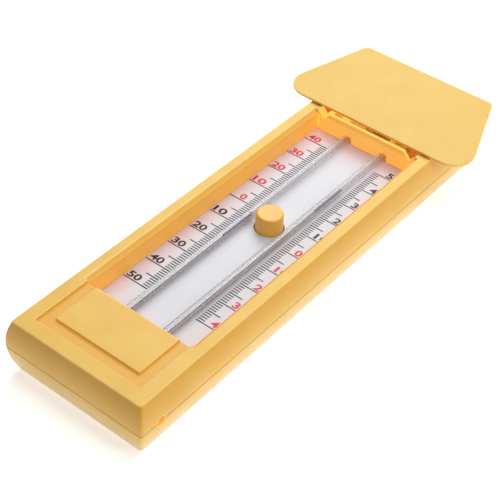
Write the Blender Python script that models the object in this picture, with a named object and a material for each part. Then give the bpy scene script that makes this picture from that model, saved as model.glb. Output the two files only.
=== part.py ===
"""Maximum minimum thermometer: push-button reset pattern with a folding rain hood.

The thermometer lies on its back. +X is to the right of the scale, +Y runs up the scale
towards the hood and +Z points out of the face. The origin is the middle of the back face.
Lengths in this file are in millimetres and are turned into metres when a mesh is made.
"""

import math

import bmesh
import bpy
from mathutils import Matrix, Vector

MM = 0.001
GAP = 0.3

# Case
CASE_HALF_W = 33.0
CASE_HALF_L = 116.5
CASE_H = 26.5
CASE_CORNER_R = 1.5
SEAM_Z = 13.6
BULGE = 2.6
BULGE_Z = 15.0
FOOT_INSET = 0.85
WALL = 2.0
FLOOR_Z = 2.2
TOP_PLATE_Z = 24.3

# Face: window, groove and raised pad at the near end, bulb chamber at the far end
WINDOW_HALF_W = 26.7
WINDOW_NEAR_Y = -109.7
WINDOW_CHAMFER = 0.6
SKIRT_T = 1.8
PAD_HALF_W = 21.6
PAD_NEAR_Y = -104.4
PAD_FAR_Y = -81.5
GROOVE_FLOOR_Z = 24.1
PARTITION_Y = 71.8
PARTITION_T = 1.8
CHAMBER_FAR_Y = 105.5

# Scale and glass
CARD_TOP_Z = 15.6
CARD_T = 0.5
CARD_HALF_W = 28.2
CARD_NEAR_Y = -111.0
CARD_FAR_Y = 76.0
CARRIER_T = 1.5
CARRIER_TOP_Z = CARD_TOP_Z - CARD_T - GAP
CARRIER_Z = CARRIER_TOP_Z - CARRIER_T
TUBE_X = 9.8
TUBE_R = 2.0
BORE_R = 0.8
TUBE_Z = CARD_TOP_Z + GAP + TUBE_R
BEND_Y = -91.0
TUBE_TOP_Y = 80.5
NOTCH_R = 2.5

# Scale: the first long line (40 below zero on the left) and the pitch of ten degrees
SCALE_TOP_Y = 62.1
SCALE_STEP_Y = 13.7
THREAD_R = 0.62
THREAD_MIN_Y = SCALE_TOP_Y - 5.9 * SCALE_STEP_Y
THREAD_MAX_Y = SCALE_TOP_Y - 3.1 * SCALE_STEP_Y
INDEX_R = 0.42
INDEX_L = 20.0

# Bulbs
BULB_Y0 = 78.5
BULB_MIN_R = 6.5
BULB_MIN_L = 24.0
BULB_MAX_R = 4.8
BULB_MAX_L = 19.0
BULB_T = 0.7

# Button, magnet carrier and spring
BUTTON_Y = 1.2
BUTTON_TOP_Z = 23.8
BUTTON_TOP_R = 5.9
BUTTON_BASE_R = 6.25
BUTTON_HOLE_R = 6.7
BUTTON_STEM_R = 2.2
MAGNET_CARRIER_TOP_Z = CARRIER_Z - 0.5
MAGNET_CARRIER_T = 2.4
MAGNET_CARRIER_HALF_W = 14.0
MAGNET_CARRIER_HALF_L = 68.0
MAGNET_W = 3.6
MAGNET_T = 1.3
MAGNET_HALF_L = 63.0
GUIDE_R = 1.5
GUIDE_Y = 45.0
SPRING_R = 4.4
SPRING_WIRE_R = 0.35
SPRING_TURNS = 4.5

# Rain hood
HOOD_NEAR_Y = 74.3
HOOD_FAR_Y = 123.2
HOOD_NEAR_HALF_W = 52.85
HOOD_FAR_HALF_W = 35.45
HOOD_NEAR_R = 10.0
HOOD_FAR_R = 3.0
HOOD_T = 1.4
HOOD_NEAR_Z = 26.8
HOOD_RISE = 4.0
HINGE_Y = 114.5
HINGE_Z = 25.1
HINGE_X = 20.0
HINGE_LUG_T = 3.6
HINGE_LUG_R = 2.3
TRUNNION_R = 1.2
LATCH_X = 23.6
LATCH_W = 5.2
LATCH_DEPTH = 3.0

# Screws and drain hole
SCREWS = ((-24.0, -99.0), (24.0, -99.0), (-25.5, 110.3), (25.5, 110.3))
POST_R = 4.2
BOSS_R = 3.3
DRAIN_Y = -108.2
DRAIN_R = 2.25


# ---------------------------------------------------------------- mesh helpers

def material(name, colour, roughness, metallic=0.0, transmission=0.0):
    """Return a Principled material of the given look."""
    found = bpy.data.materials.get(name)
    if found:
        return found
    made = bpy.data.materials.new(name)
    made.use_nodes = True
    shader = made.node_tree.nodes["Principled BSDF"]
    shader.inputs["Base Color"].default_value = (*colour, 1.0)
    shader.inputs["Roughness"].default_value = roughness
    shader.inputs["Metallic"].default_value = metallic
    shader.inputs["Transmission Weight"].default_value = transmission
    made.diffuse_color = (*colour, 1.0)
    return made


def add_object(name, bm):
    """Turn a bmesh in millimetres into an object in metres at the world origin."""
    bmesh.ops.recalc_face_normals(bm, faces=bm.faces)
    bmesh.ops.transform(bm, matrix=Matrix.Scale(MM, 4), verts=bm.verts)
    mesh = bpy.data.meshes.new(name)
    bm.to_mesh(mesh)
    bm.free()
    obj = bpy.data.objects.new(name, mesh)
    bpy.context.scene.collection.objects.link(obj)
    return obj


def stack(name, rings):
    """Skin a list of equal rings of points into one closed solid."""
    bm = bmesh.new()
    rows = [[bm.verts.new(point) for point in ring] for ring in rings]
    count = len(rows[0])
    for low, high in zip(rows, rows[1:]):
        for i in range(count):
            j = (i + 1) % count
            bm.faces.new((low[i], low[j], high[j], high[i]))
    bm.faces.new(rows[0])
    bm.faces.new(rows[-1])
    return add_object(name, bm)


def rounded_rect(half_x, half_y, radius, z, centre=(0.0, 0.0), steps=5):
    """Return the points of a rounded rectangle at height z."""
    points = []
    for quarter, (sx, sy) in enumerate(((1, 1), (-1, 1), (-1, -1), (1, -1))):
        for step in range(steps + 1):
            angle = math.radians(90.0 * quarter + 90.0 * step / steps)
            x = centre[0] + sx * (half_x - radius) + radius * math.cos(angle)
            y = centre[1] + sy * (half_y - radius) + radius * math.sin(angle)
            points.append((x, y, z))
    return points


def box(name, low, high):
    """Return a box between two corners."""
    bm = bmesh.new()
    bmesh.ops.create_cube(bm, size=1.0)
    for vert in bm.verts:
        vert.co = Vector([a if c < 0 else b for a, b, c in zip(low, high, vert.co)])
    return add_object(name, bm)


def prism(name, outline, low, high, axis="Z"):
    """Extrude a flat outline along one axis between two values."""
    place = {
        "X": lambda p, t: (t, p[0], p[1]),
        "Y": lambda p, t: (p[0], t, p[1]),
        "Z": lambda p, t: (p[0], p[1], t),
    }[axis]
    return stack(name, [[place(p, t) for p in outline] for t in (low, high)])


def disc(radius, centre=(0.0, 0.0), steps=24):
    """Return a circle's points in the plane."""
    turn = 2.0 * math.pi / steps
    return [(centre[0] + radius * math.cos(turn * i), centre[1] + radius * math.sin(turn * i))
            for i in range(steps)]


def rod(name, radius, low, high, centre, axis="Z", steps=24):
    """Return a cylinder along one axis."""
    return prism(name, disc(radius, centre, steps), low, high, axis)


def lathe(name, profile, centre, axis="Z", steps=32):
    """Turn a profile of (radius, height) pairs that starts and ends on the axis."""
    bm = bmesh.new()
    rows = []
    for radius, height in profile:
        if radius <= 0.0:
            rows.append([bm.verts.new((0.0, 0.0, height))])
        else:
            rows.append([bm.verts.new((x, y, height)) for x, y in disc(radius, steps=steps)])
    for low, high in zip(rows, rows[1:]):
        for i in range(steps):
            j = (i + 1) % steps
            ring = [low[i % len(low)], low[j % len(low)], high[j % len(high)], high[i % len(high)]]
            bm.faces.new(list(dict.fromkeys(ring)))
    if axis == "Y":
        bmesh.ops.rotate(bm, matrix=Matrix.Rotation(math.radians(-90.0), 3, "X"), verts=bm.verts)
    bmesh.ops.translate(bm, vec=centre, verts=bm.verts)
    return add_object(name, bm)


def ring_frames(path):
    """Return a position, a side vector and an up vector at every point of a path."""
    frames = []
    side = None
    for i, point in enumerate(path):
        ahead = path[min(i + 1, len(path) - 1)]
        behind = path[max(i - 1, 0)]
        tangent = (ahead - behind).normalized()
        if side is None:
            side = tangent.orthogonal().normalized()
        side = (side - tangent * side.dot(tangent)).normalized()
        frames.append((point, side, tangent.cross(side)))
    return frames


def sweep_rings(path, radius, sides):
    """Return rings of points of one radius along a path."""
    rings = []
    for point, side, up in ring_frames(path):
        rings.append([point + side * x + up * y for x, y in disc(radius, steps=sides)])
    return rings


def sweep(name, path, radius, sides=16, bore=0.0):
    """Sweep a round bar, or an open-ended tube, along a path."""
    outer = sweep_rings(path, radius, sides)
    if not bore:
        return stack(name, outer)
    rings = outer + list(reversed(sweep_rings(path, bore, sides)))
    bm = bmesh.new()
    rows = [[bm.verts.new(point) for point in ring] for ring in rings]
    for low, high in zip(rows, rows[1:] + rows[:1]):
        for i in range(sides):
            j = (i + 1) % sides
            bm.faces.new((low[i], low[j], high[j], high[i]))
    return add_object(name, bm)


def combine(obj, others, operation):
    """Apply exact booleans with the other objects and remove them."""
    for other in others:
        other.hide_render = True
        other.display_type = "WIRE"
        modifier = obj.modifiers.new("combine", "BOOLEAN")
        modifier.operation = operation
        modifier.solver = "EXACT"
        modifier.object = other
    graph = bpy.context.evaluated_depsgraph_get()
    mesh = bpy.data.meshes.new_from_object(obj.evaluated_get(graph))
    old = obj.data
    obj.modifiers.clear()
    obj.data = mesh
    bpy.data.meshes.remove(old)
    for other in others:
        data = other.data
        bpy.data.objects.remove(other)
        bpy.data.meshes.remove(data)
    return obj


def cut(obj, *cutters):
    """Subtract the cutters."""
    return combine(obj, cutters, "DIFFERENCE")


def join(obj, *parts):
    """Unite with the parts."""
    return combine(obj, parts, "UNION")


def finish(obj, look, smooth=None, origin=None):
    """Clean the mesh, set its material, its shading and its origin."""
    bm = bmesh.new()
    bm.from_mesh(obj.data)
    bmesh.ops.remove_doubles(bm, verts=bm.verts, dist=0.00001)
    bmesh.ops.dissolve_degenerate(bm, edges=bm.edges, dist=0.000005)
    bmesh.ops.recalc_face_normals(bm, faces=bm.faces)
    if origin:
        bmesh.ops.translate(bm, vec=-Vector(origin) * MM, verts=bm.verts)
        obj.location = Vector(origin) * MM
    bm.to_mesh(obj.data)
    bm.free()
    obj.data.materials.clear()
    obj.data.materials.append(look)
    if smooth is not None:
        obj.data.shade_smooth()
        obj.data.set_sharp_from_angle(angle=math.radians(smooth))
    return obj


# ---------------------------------------------------------------- case

def bulge_at(z):
    """Return how far the barrel-shaped wall stands out from the rim at height z."""
    if z >= BULGE_Z:
        return BULGE * (1.0 - ((z - BULGE_Z) / (CASE_H - BULGE_Z)) ** 2)
    share = ((BULGE_Z - z) / BULGE_Z) ** 2
    return BULGE - (BULGE + FOOT_INSET) * share


def barrel(name, low, high, inset=0.0, levels=6):
    """Return a solid between two heights with the outline of the case, set in by inset."""
    rings = []
    for i in range(levels + 1):
        z = low + (high - low) * i / levels
        grow = bulge_at(z) - inset
        radius = max(CASE_CORNER_R - inset * 0.5, 0.8)
        rings.append(rounded_rect(CASE_HALF_W + grow, CASE_HALF_L + grow, radius, z))
    return stack(name, rings)


def window_cutter(name, near_y, far_y):
    """Return a cutter for a window through the face with a small chamfer at its mouth."""
    centre = (0.0, (near_y + far_y) / 2.0)
    half_y = (far_y - near_y) / 2.0
    rings = []
    for z, grow in ((10.0, 0.0), (CASE_H - WINDOW_CHAMFER, 0.0), (CASE_H, WINDOW_CHAMFER),
                    (CASE_H + 2.0, WINDOW_CHAMFER)):
        rings.append(rounded_rect(WINDOW_HALF_W + grow, half_y + grow, 0.8 + grow, z, centre, 3))
    return stack(name, rings)


def arch(centre_x, radius, low_z, centre_z):
    """Return the outline of an arched notch in the X-Z plane."""
    points = [(centre_x + radius, low_z), (centre_x - radius, low_z)]
    for step in range(13):
        angle = math.radians(180.0 - 15.0 * step)
        points.append((centre_x + radius * math.cos(angle), centre_z + radius * math.sin(angle)))
    return points


def make_front_case(look):
    """Front shell: rim, window, groove and pad, bulb chamber, hinge slots and screw bosses."""
    bottom = SEAM_Z + GAP / 2.0
    case = barrel("front_case", bottom, CASE_H)
    cut(case, barrel("cavity", bottom - 1.0, TOP_PLATE_Z, WALL))
    skirt_bottom = CARD_TOP_Z + GAP
    half = WINDOW_HALF_W + SKIRT_T
    inner_y = CASE_HALF_L - WALL
    join(
        case,
        box("skirt", (-half, PAD_FAR_Y - 2.0, skirt_bottom), (half, CHAMBER_FAR_Y + SKIRT_T, 25.5)),
        box("groove_floor", (-half, -inner_y, GROOVE_FLOOR_Z - 2.0), (half, PAD_FAR_Y, 25.5)),
        box("hinge_block", (-half, CHAMBER_FAR_Y, 19.6), (half, inner_y, 25.5)),
        *[rod("boss", BOSS_R, bottom, 25.0, xy) for xy in SCREWS],
    )
    cut(
        case,
        window_cutter("scale_window", PAD_FAR_Y, PARTITION_Y),
        window_cutter("chamber_window", PARTITION_Y + PARTITION_T, CHAMBER_FAR_Y),
        box("partition_top", (-WINDOW_HALF_W, PARTITION_Y - 1.0, CASE_H - 0.4),
            (WINDOW_HALF_W, PARTITION_Y + 3.0, CASE_H + 2.0)),
    )
    cut(case, *groove_cutters())
    cut(case, *partition_cutters())
    cut(case, *[prism("notch", arch(x, NOTCH_R, 10.0, TUBE_Z), PAD_FAR_Y - 6.0, PAD_FAR_Y + 1.0, "Y")
                for x in (-TUBE_X, TUBE_X)])
    cut(case, *hinge_cutters())
    cut(case, *[rod("pilot", 1.5, bottom - 1.0, 21.0, xy, steps=16) for xy in SCREWS])
    cut(case, *drain_cutters())
    return finish(case, look)


def groove_cutters():
    """Cutters for the shallow groove round three sides of the raised pad."""
    top = CASE_H + 1.0
    side = [
        box("groove", (sign * PAD_HALF_W if sign > 0 else -WINDOW_HALF_W, WINDOW_NEAR_Y, GROOVE_FLOOR_Z),
            (WINDOW_HALF_W if sign > 0 else -PAD_HALF_W, PAD_FAR_Y + 1.0, top))
        for sign in (-1, 1)
    ]
    near = box("groove", (-PAD_HALF_W - 1.0, WINDOW_NEAR_Y, GROOVE_FLOOR_Z),
               (PAD_HALF_W + 1.0, PAD_NEAR_Y, top))
    return side + [near]


def partition_cutters():
    """Notches for the two glass limbs, corner grooves and the V notches of the hood's latches."""
    low, high = PARTITION_Y - 1.0, PARTITION_Y + PARTITION_T + 1.0
    cutters = []
    for sign in (-1, 1):
        notch = arch(sign * TUBE_X, NOTCH_R, 10.0, TUBE_Z)
        cutters.append(prism("notch", notch, low, high, "Y"))
        edge = sign * LATCH_X
        vee = [(edge - 3.1, CASE_H + 1.0), (edge - 3.1, CASE_H - 0.4), (edge, CASE_H - 4.2),
               (edge + 3.1, CASE_H - 0.4), (edge + 3.1, CASE_H + 1.0)]
        cutters.append(prism("vee", vee, low, high, "Y"))
        wall = sign * WINDOW_HALF_W
        wedge = [(wall, 25.2), (wall, 10.0), (wall - sign * 3.0, 10.0)]
        cutters.append(prism("corner", wedge[::sign], low, PARTITION_Y + 1.1, "Y"))
    return cutters


def hinge_cutters():
    """Slots open to the top and the end for the hood's lugs, with sockets for the trunnions."""
    cutters = []
    for sign in (-1, 1):
        half = HINGE_LUG_T / 2.0 + GAP
        centre = sign * HINGE_X
        cutters.append(box("slot", (centre - half, HINGE_Y - HINGE_LUG_R - 0.5, HINGE_Z - HINGE_LUG_R - 0.9),
                           (centre + half, CASE_HALF_L + 5.0, CASE_H + 2.0)))
        cutters.append(rod("socket", TRUNNION_R + GAP, centre - half - 1.3, centre + half + 1.3,
                           (HINGE_Y, HINGE_Z), "X", 20))
    return cutters


def drain_cutters():
    """Cutters for the round hole on the seam near the bottom corner of each side wall."""
    return [
        rod("drain", DRAIN_R, *sorted((sign * (CASE_HALF_W - 4.0), sign * (CASE_HALF_W + 5.0))),
            (DRAIN_Y, SEAM_Z), "X", 24)
        for sign in (-1, 1)
    ]


def make_back_case(look):
    """Back shell: tray with screw posts, plate ribs, spring spigot and a hanging keyhole."""
    top = SEAM_Z - GAP / 2.0
    case = barrel("back_case", 0.0, top)
    cut(case, barrel("cavity", FLOOR_Z, top + 1.0, WALL))
    rib_top = CARRIER_Z - GAP
    join(
        case,
        *[rod("post", POST_R, 1.0, rib_top, xy) for xy in SCREWS],
        box("rib", (-20.0, -97.0, 1.0), (20.0, -95.0, rib_top)),
        box("rib", (-20.0, 72.8, 1.0), (20.0, 74.8, rib_top)),
        *[box("rib", (x - 0.9, y - 8.0, 1.0), (x + 0.9, y + 8.0, rib_top))
          for x in (-22.0, 22.0) for y in (-40.0, 40.0)],
        rod("spigot", 3.2, 1.0, FLOOR_Z + 2.0, (0.0, BUTTON_Y)),
    )
    keyhole_y = 81.0
    cut(
        case,
        *[rod("counterbore", 3.3, -1.0, 5.0, xy) for xy in SCREWS],
        rod("keyhole_head", 4.2, -1.0, 4.0, (0.0, keyhole_y)),
    )
    cut(case, *[rod("shank", 1.5, 4.0, top + 1.0, xy, steps=16) for xy in SCREWS])
    cut(case, prism("keyhole_slot", keyhole_outline(keyhole_y), -1.0, 4.0))
    cut(case, *drain_cutters())
    return finish(case, look)


def keyhole_outline(y):
    """Return the outline of the keyhole's narrow upper part."""
    half = 2.3
    end = y + 6.0
    arc = [(half * math.cos(math.radians(15.0 * i)), end + half * math.sin(math.radians(15.0 * i)))
           for i in range(13)]
    return [(-half, y), (half, y)] + arc


# ---------------------------------------------------------------- scale, glass and liquids

def make_carrier_plate(look):
    """Stiff white plate behind the card, with two guide pegs for the magnet carrier."""
    plate = box("carrier_plate", (-CARD_HALF_W, CARD_NEAR_Y, CARRIER_Z),
                (CARD_HALF_W, CARD_FAR_Y, CARRIER_TOP_Z))
    pegs = [rod("peg", GUIDE_R, 5.6, CARRIER_Z + 0.5, (0.0, y), steps=20) for y in (-GUIDE_Y, GUIDE_Y)]
    join(plate, *pegs)
    cut(plate, rod("hole", BUTTON_HOLE_R, 5.0, 20.0, (0.0, BUTTON_Y), steps=40), *boss_cutters())
    return finish(plate, look)


def boss_cutters():
    """Clearance cutters for the two near screw bosses."""
    return [rod("clear", BOSS_R + 0.6, 5.0, 20.0, xy) for xy in SCREWS[:2]]


def make_scale_card(look):
    """Printed card under the glass, with the hole for the button."""
    card = box("scale_card", (-CARD_HALF_W, CARD_NEAR_Y, CARD_TOP_Z - CARD_T),
               (CARD_HALF_W, CARD_FAR_Y, CARD_TOP_Z))
    cut(card, rod("hole", BUTTON_HOLE_R, 5.0, 20.0, (0.0, BUTTON_Y), steps=40), *boss_cutters())
    return finish(card, look)


def limb_path(left_y, right_y):
    """Return the centre line of the U from the left limb round the bend to the right limb."""
    path = [Vector((-TUBE_X, left_y, TUBE_Z))]
    for step in range(17):
        angle = math.radians(180.0 + 180.0 * step / 16.0)
        path.append(Vector((TUBE_X * math.cos(angle), BEND_Y + TUBE_X * math.sin(angle), TUBE_Z)))
    path.append(Vector((TUBE_X, right_y, TUBE_Z)))
    return path


def make_glass_tube(look):
    """Capillary tube bent into a U, open at both ends into the bulbs."""
    tube = sweep("glass_tube", limb_path(TUBE_TOP_Y, TUBE_TOP_Y), TUBE_R, 20, BORE_R)
    return finish(tube, look, 40.0)


def bulb_wall(neck, radius, length, raise_by):
    """Return (radius, height) pairs from a bulb's neck over its shoulder to its round tip."""
    profile = []
    for step in range(6):
        angle = math.radians(18.0 * step)
        height = 1.5 + raise_by + 4.5 * (1.0 - math.cos(angle))
        profile.append((neck + (radius - neck) * math.sin(angle), height))
    return profile


def bulb_tip(radius, centre):
    """Return (radius, height) pairs of the round tip, ending on the axis."""
    angles = [math.radians(15.0 * step) for step in range(6)]
    return [(radius * math.cos(a), centre + radius * math.sin(a)) for a in angles] + [(0.0, centre + radius)]


def turn_about_y(name, profile, x, closed):
    """Turn a profile of (radius, height) pairs about a line along Y through the bulb's neck."""
    steps = 28
    bm = bmesh.new()
    rows = []
    for radius, height in profile:
        y = BULB_Y0 + height
        if radius <= 0.0:
            rows.append([bm.verts.new((x, y, TUBE_Z))])
        else:
            rows.append([bm.verts.new((x + u, y, TUBE_Z + v)) for u, v in disc(radius, steps=steps)])
    pairs = list(zip(rows, rows[1:]))
    if closed:
        pairs.append((rows[-1], rows[0]))
    for low, high in pairs:
        if len(low) == 1 and len(high) == 1:
            continue
        for i in range(steps):
            j = (i + 1) % steps
            ring = [low[i % len(low)], low[j % len(low)], high[j % len(high)], high[i % len(high)]]
            bm.faces.new(list(dict.fromkeys(ring)))
    return add_object(name, bm)


def make_bulb(name, x, radius, length, look):
    """Hollow glass bulb whose open neck takes the end of a limb."""
    neck = TUBE_R + 0.25
    centre = length - radius
    inner = radius - BULB_T
    outside = [(neck + BULB_T, 0.0)] + bulb_wall(neck + BULB_T, radius, length, 0.0)
    inside = [(neck, 0.0)] + bulb_wall(neck, inner, length, BULB_T)
    profile = outside + bulb_tip(radius, centre) + list(reversed(inside + bulb_tip(inner, centre)))
    return finish(turn_about_y(name, profile, x, True), look, 50.0)


def make_fill(name, x, radius, length, level, look):
    """Liquid inside a bulb, filled to a share of the bulb's length."""
    neck = TUBE_R - 0.4
    inner = radius - BULB_T - GAP
    centre = length - radius
    top = level * length
    wall = bulb_wall(neck, inner, length, BULB_T + 0.6)
    tip = [pair for pair in bulb_tip(inner, centre) if pair[1] < top]
    lid = [(0.0, top)] if tip[-1][0] > 0.0 else []
    start = [(0.0, wall[0][1])]
    if lid:
        lid = [(tip[-1][0], top)] + lid
    profile = start + wall + tip + lid
    return finish(turn_about_y(name, profile, x, False), look, 50.0)


def make_thread(look):
    """Liquid thread standing round the bend at room temperature."""
    thread = sweep("thread_column", limb_path(THREAD_MIN_Y, THREAD_MAX_Y), THREAD_R, 12)
    return finish(thread, look, 50.0)


def make_index(name, x, y, look):
    """Small coated steel index resting on the end of the thread."""
    start = y + 0.4
    profile = [(0.0, 0.0), (INDEX_R * 0.6, 0.1), (INDEX_R, 0.5), (INDEX_R, INDEX_L - 0.5),
               (INDEX_R * 0.6, INDEX_L - 0.1), (0.0, INDEX_L)]
    index = lathe(name, profile, (x, start, TUBE_Z), "Y", 12)
    return finish(index, look, 50.0, (x, start, TUBE_Z))


def make_bend_clip(look):
    """Clip that bridges both limbs just above the bend and holds them to the card."""
    clip = box("bend_clip", (-14.5, -90.0, CARD_TOP_Z + GAP), (14.5, -85.0, 21.6))
    notches = [prism("notch", arch(x, TUBE_R + GAP, 10.0, TUBE_Z), -92.0, -83.0, "Y")
               for x in (-TUBE_X, TUBE_X)]
    cut(clip, *notches)
    return finish(clip, look)


# ---------------------------------------------------------------- button, magnets and spring

def make_button(look):
    """Push button with a rounded top and a stem that carries the magnets."""
    base = MAGNET_CARRIER_TOP_Z + GAP
    profile = [(0.0, 8.9), (BUTTON_STEM_R - 0.4, 8.9), (BUTTON_STEM_R, 9.3), (BUTTON_STEM_R, base),
               (BUTTON_BASE_R, base), (BUTTON_BASE_R - 0.05, CARD_TOP_Z),
               (BUTTON_TOP_R, BUTTON_TOP_Z - 1.4), (BUTTON_TOP_R - 0.25, BUTTON_TOP_Z - 0.65),
               (BUTTON_TOP_R - 0.75, BUTTON_TOP_Z - 0.15), (BUTTON_TOP_R - 1.5, BUTTON_TOP_Z),
               (0.0, BUTTON_TOP_Z - 0.15)]
    button = lathe("push_button", profile, (0.0, BUTTON_Y, 0.0), steps=40)
    return finish(button, look, 35.0, (0.0, BUTTON_Y, BUTTON_TOP_Z))


def make_magnet_carrier(look):
    """Bar behind the scale that holds two magnet strips against the limbs."""
    low = MAGNET_CARRIER_TOP_Z - MAGNET_CARRIER_T
    top = MAGNET_CARRIER_TOP_Z
    bar = box("magnet_carrier", (-MAGNET_CARRIER_HALF_W, -MAGNET_CARRIER_HALF_L, low),
              (MAGNET_CARRIER_HALF_W, MAGNET_CARRIER_HALF_L, top))
    half = MAGNET_W / 2.0 + GAP
    grooves = [box("groove", (x - half, -MAGNET_HALF_L - GAP, top - MAGNET_T - GAP),
                   (x + half, MAGNET_HALF_L + GAP, top + 1.0)) for x in (-TUBE_X, TUBE_X)]
    guides = [rod("guide", GUIDE_R + 0.4, low - 1.0, top + 1.0, (0.0, y), steps=20)
              for y in (-GUIDE_Y, GUIDE_Y)]
    hole = rod("hole", BUTTON_STEM_R + GAP, low - 1.0, top + 1.0, (0.0, BUTTON_Y))
    cut(bar, *grooves, *guides, hole)
    return finish(bar, look, None, (0.0, BUTTON_Y, top))


def make_magnet(name, x, look):
    """Flexible magnet strip lying in its groove."""
    top = MAGNET_CARRIER_TOP_Z
    strip = box(name, (x - MAGNET_W / 2.0, -MAGNET_HALF_L, top - MAGNET_T),
                (x + MAGNET_W / 2.0, MAGNET_HALF_L, top))
    return finish(strip, look, None, (x, 0.0, top))


def make_button_ring(look):
    """Push-on ring that keeps the button's stem in the magnet carrier."""
    top = MAGNET_CARRIER_TOP_Z - MAGNET_CARRIER_T - GAP
    ring = rod("button_ring", 3.4, top - 0.6, top, (0.0, BUTTON_Y))
    cut(ring, rod("hole", BUTTON_STEM_R + 0.15, top - 2.0, top + 1.0, (0.0, BUTTON_Y)))
    return finish(ring, look, None, (0.0, BUTTON_Y, top))


def make_spring(look):
    """Coil spring between the back shell and the magnet carrier."""
    low = FLOOR_Z + GAP + SPRING_WIRE_R
    high = MAGNET_CARRIER_TOP_Z - MAGNET_CARRIER_T - GAP - SPRING_WIRE_R
    steps = int(SPRING_TURNS * 20)
    path = []
    for i in range(steps + 1):
        angle = 2.0 * math.pi * SPRING_TURNS * i / steps
        path.append(Vector((SPRING_R * math.cos(angle), BUTTON_Y + SPRING_R * math.sin(angle),
                            low + (high - low) * i / steps)))
    return finish(sweep("return_spring", path, SPRING_WIRE_R, 8), look, 60.0)


# ---------------------------------------------------------------- hood

def rounded_polygon(corners, steps=6):
    """Return an outline from (x, y, radius) corners listed anticlockwise."""
    outline = []
    for i, (x, y, radius) in enumerate(corners):
        corner = Vector((x, y))
        before = (Vector(corners[i - 1][:2]) - corner).normalized()
        after = (Vector(corners[(i + 1) % len(corners)][:2]) - corner).normalized()
        half = before.angle(after) / 2.0
        centre = corner + (before + after).normalized() * radius / math.sin(half)
        first = corner + before * radius / math.tan(half) - centre
        turn = math.pi - 2.0 * half
        for step in range(steps + 1):
            outline.append(tuple(centre + Matrix.Rotation(turn * step / steps, 2) @ first))
    return outline


def make_hood(look):
    """Folding rain hood: a tapered plate with hinge lugs, trunnions and two latch tongues."""
    length = math.hypot(HOOD_FAR_Y - HOOD_NEAR_Y, HOOD_RISE)
    slope = math.atan2(HOOD_RISE, HOOD_FAR_Y - HOOD_NEAR_Y)
    outline = rounded_polygon([
        (-HOOD_NEAR_HALF_W, 0.0, HOOD_NEAR_R), (HOOD_NEAR_HALF_W, 0.0, HOOD_NEAR_R),
        (HOOD_FAR_HALF_W, length, HOOD_FAR_R), (-HOOD_FAR_HALF_W, length, HOOD_FAR_R),
    ])
    hood = prism("rain_hood", outline, 0.0, HOOD_T)
    place = (Matrix.Translation((0.0, HOOD_NEAR_Y * MM, HOOD_NEAR_Z * MM))
             @ Matrix.Rotation(slope, 4, "X"))
    hood.data.transform(place)
    pieces = []
    for sign in (-1, 1):
        pieces.append(hinge_lug(sign * HINGE_X))
        pieces.append(rod("trunnion", TRUNNION_R, sign * HINGE_X - HINGE_LUG_T / 2.0 - 1.2,
                          sign * HINGE_X + HINGE_LUG_T / 2.0 + 1.2, (HINGE_Y, HINGE_Z), "X", 20))
        half = LATCH_W / 2.0
        vee = [(sign * LATCH_X - half, HOOD_NEAR_Z + 0.6), (sign * LATCH_X, HOOD_NEAR_Z - LATCH_DEPTH),
               (sign * LATCH_X + half, HOOD_NEAR_Z + 0.6)]
        pieces.append(prism("latch", vee, HOOD_NEAR_Y + 0.6, HOOD_NEAR_Y + 2.2, "Y"))
    join(hood, *pieces)
    return finish(hood, look, None, (0.0, HINGE_Y, HINGE_Z))


def hinge_lug(x):
    """Return one hinge lug reaching from the plate's underside down to the trunnions."""
    foot = [(HINGE_Y + HINGE_LUG_R * math.cos(math.radians(-180.0 + 15.0 * i)),
             HINGE_Z + HINGE_LUG_R * math.sin(math.radians(-180.0 + 15.0 * i))) for i in range(13)]
    outline = foot + [(HINGE_Y + 3.2, 30.9), (HINGE_Y - 3.2, 30.3)]
    return prism("lug", outline, x - HINGE_LUG_T / 2.0, x + HINGE_LUG_T / 2.0, "X")


# ---------------------------------------------------------------- fixings

def make_screw(index, x, y, look):
    """Self-tapping pan-head screw with a cross recess, driven from the back."""
    name = "case_screw_%d" % index
    profile = [(0.0, 2.7), (1.9, 2.7), (2.6, 3.1), (2.9, 3.7), (2.9, 4.7), (1.15, 4.7),
               (1.15, 18.4), (0.4, 20.0), (0.0, 20.0)]
    screw = lathe(name, profile, (x, y, 0.0), steps=20)
    cut(screw, box("slot", (x - 1.5, y - 0.35, 2.0), (x + 1.5, y + 0.35, 3.7)),
        box("slot", (x - 0.35, y - 1.5, 2.0), (x + 0.35, y + 1.5, 3.7)))
    return finish(screw, look, 35.0, (x, y, 2.7))


def make_cushion(look):
    """Foam cushion behind the bulbs."""
    cushion = box("bulb_cushion", (-17.0, 91.5, FLOOR_Z + GAP), (15.5, 100.0, 11.0))
    return finish(cushion, look)


def clear_scene():
    """Remove every object of the start-up scene."""
    for obj in list(bpy.data.objects):
        bpy.data.objects.remove(obj, do_unlink=True)


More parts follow.
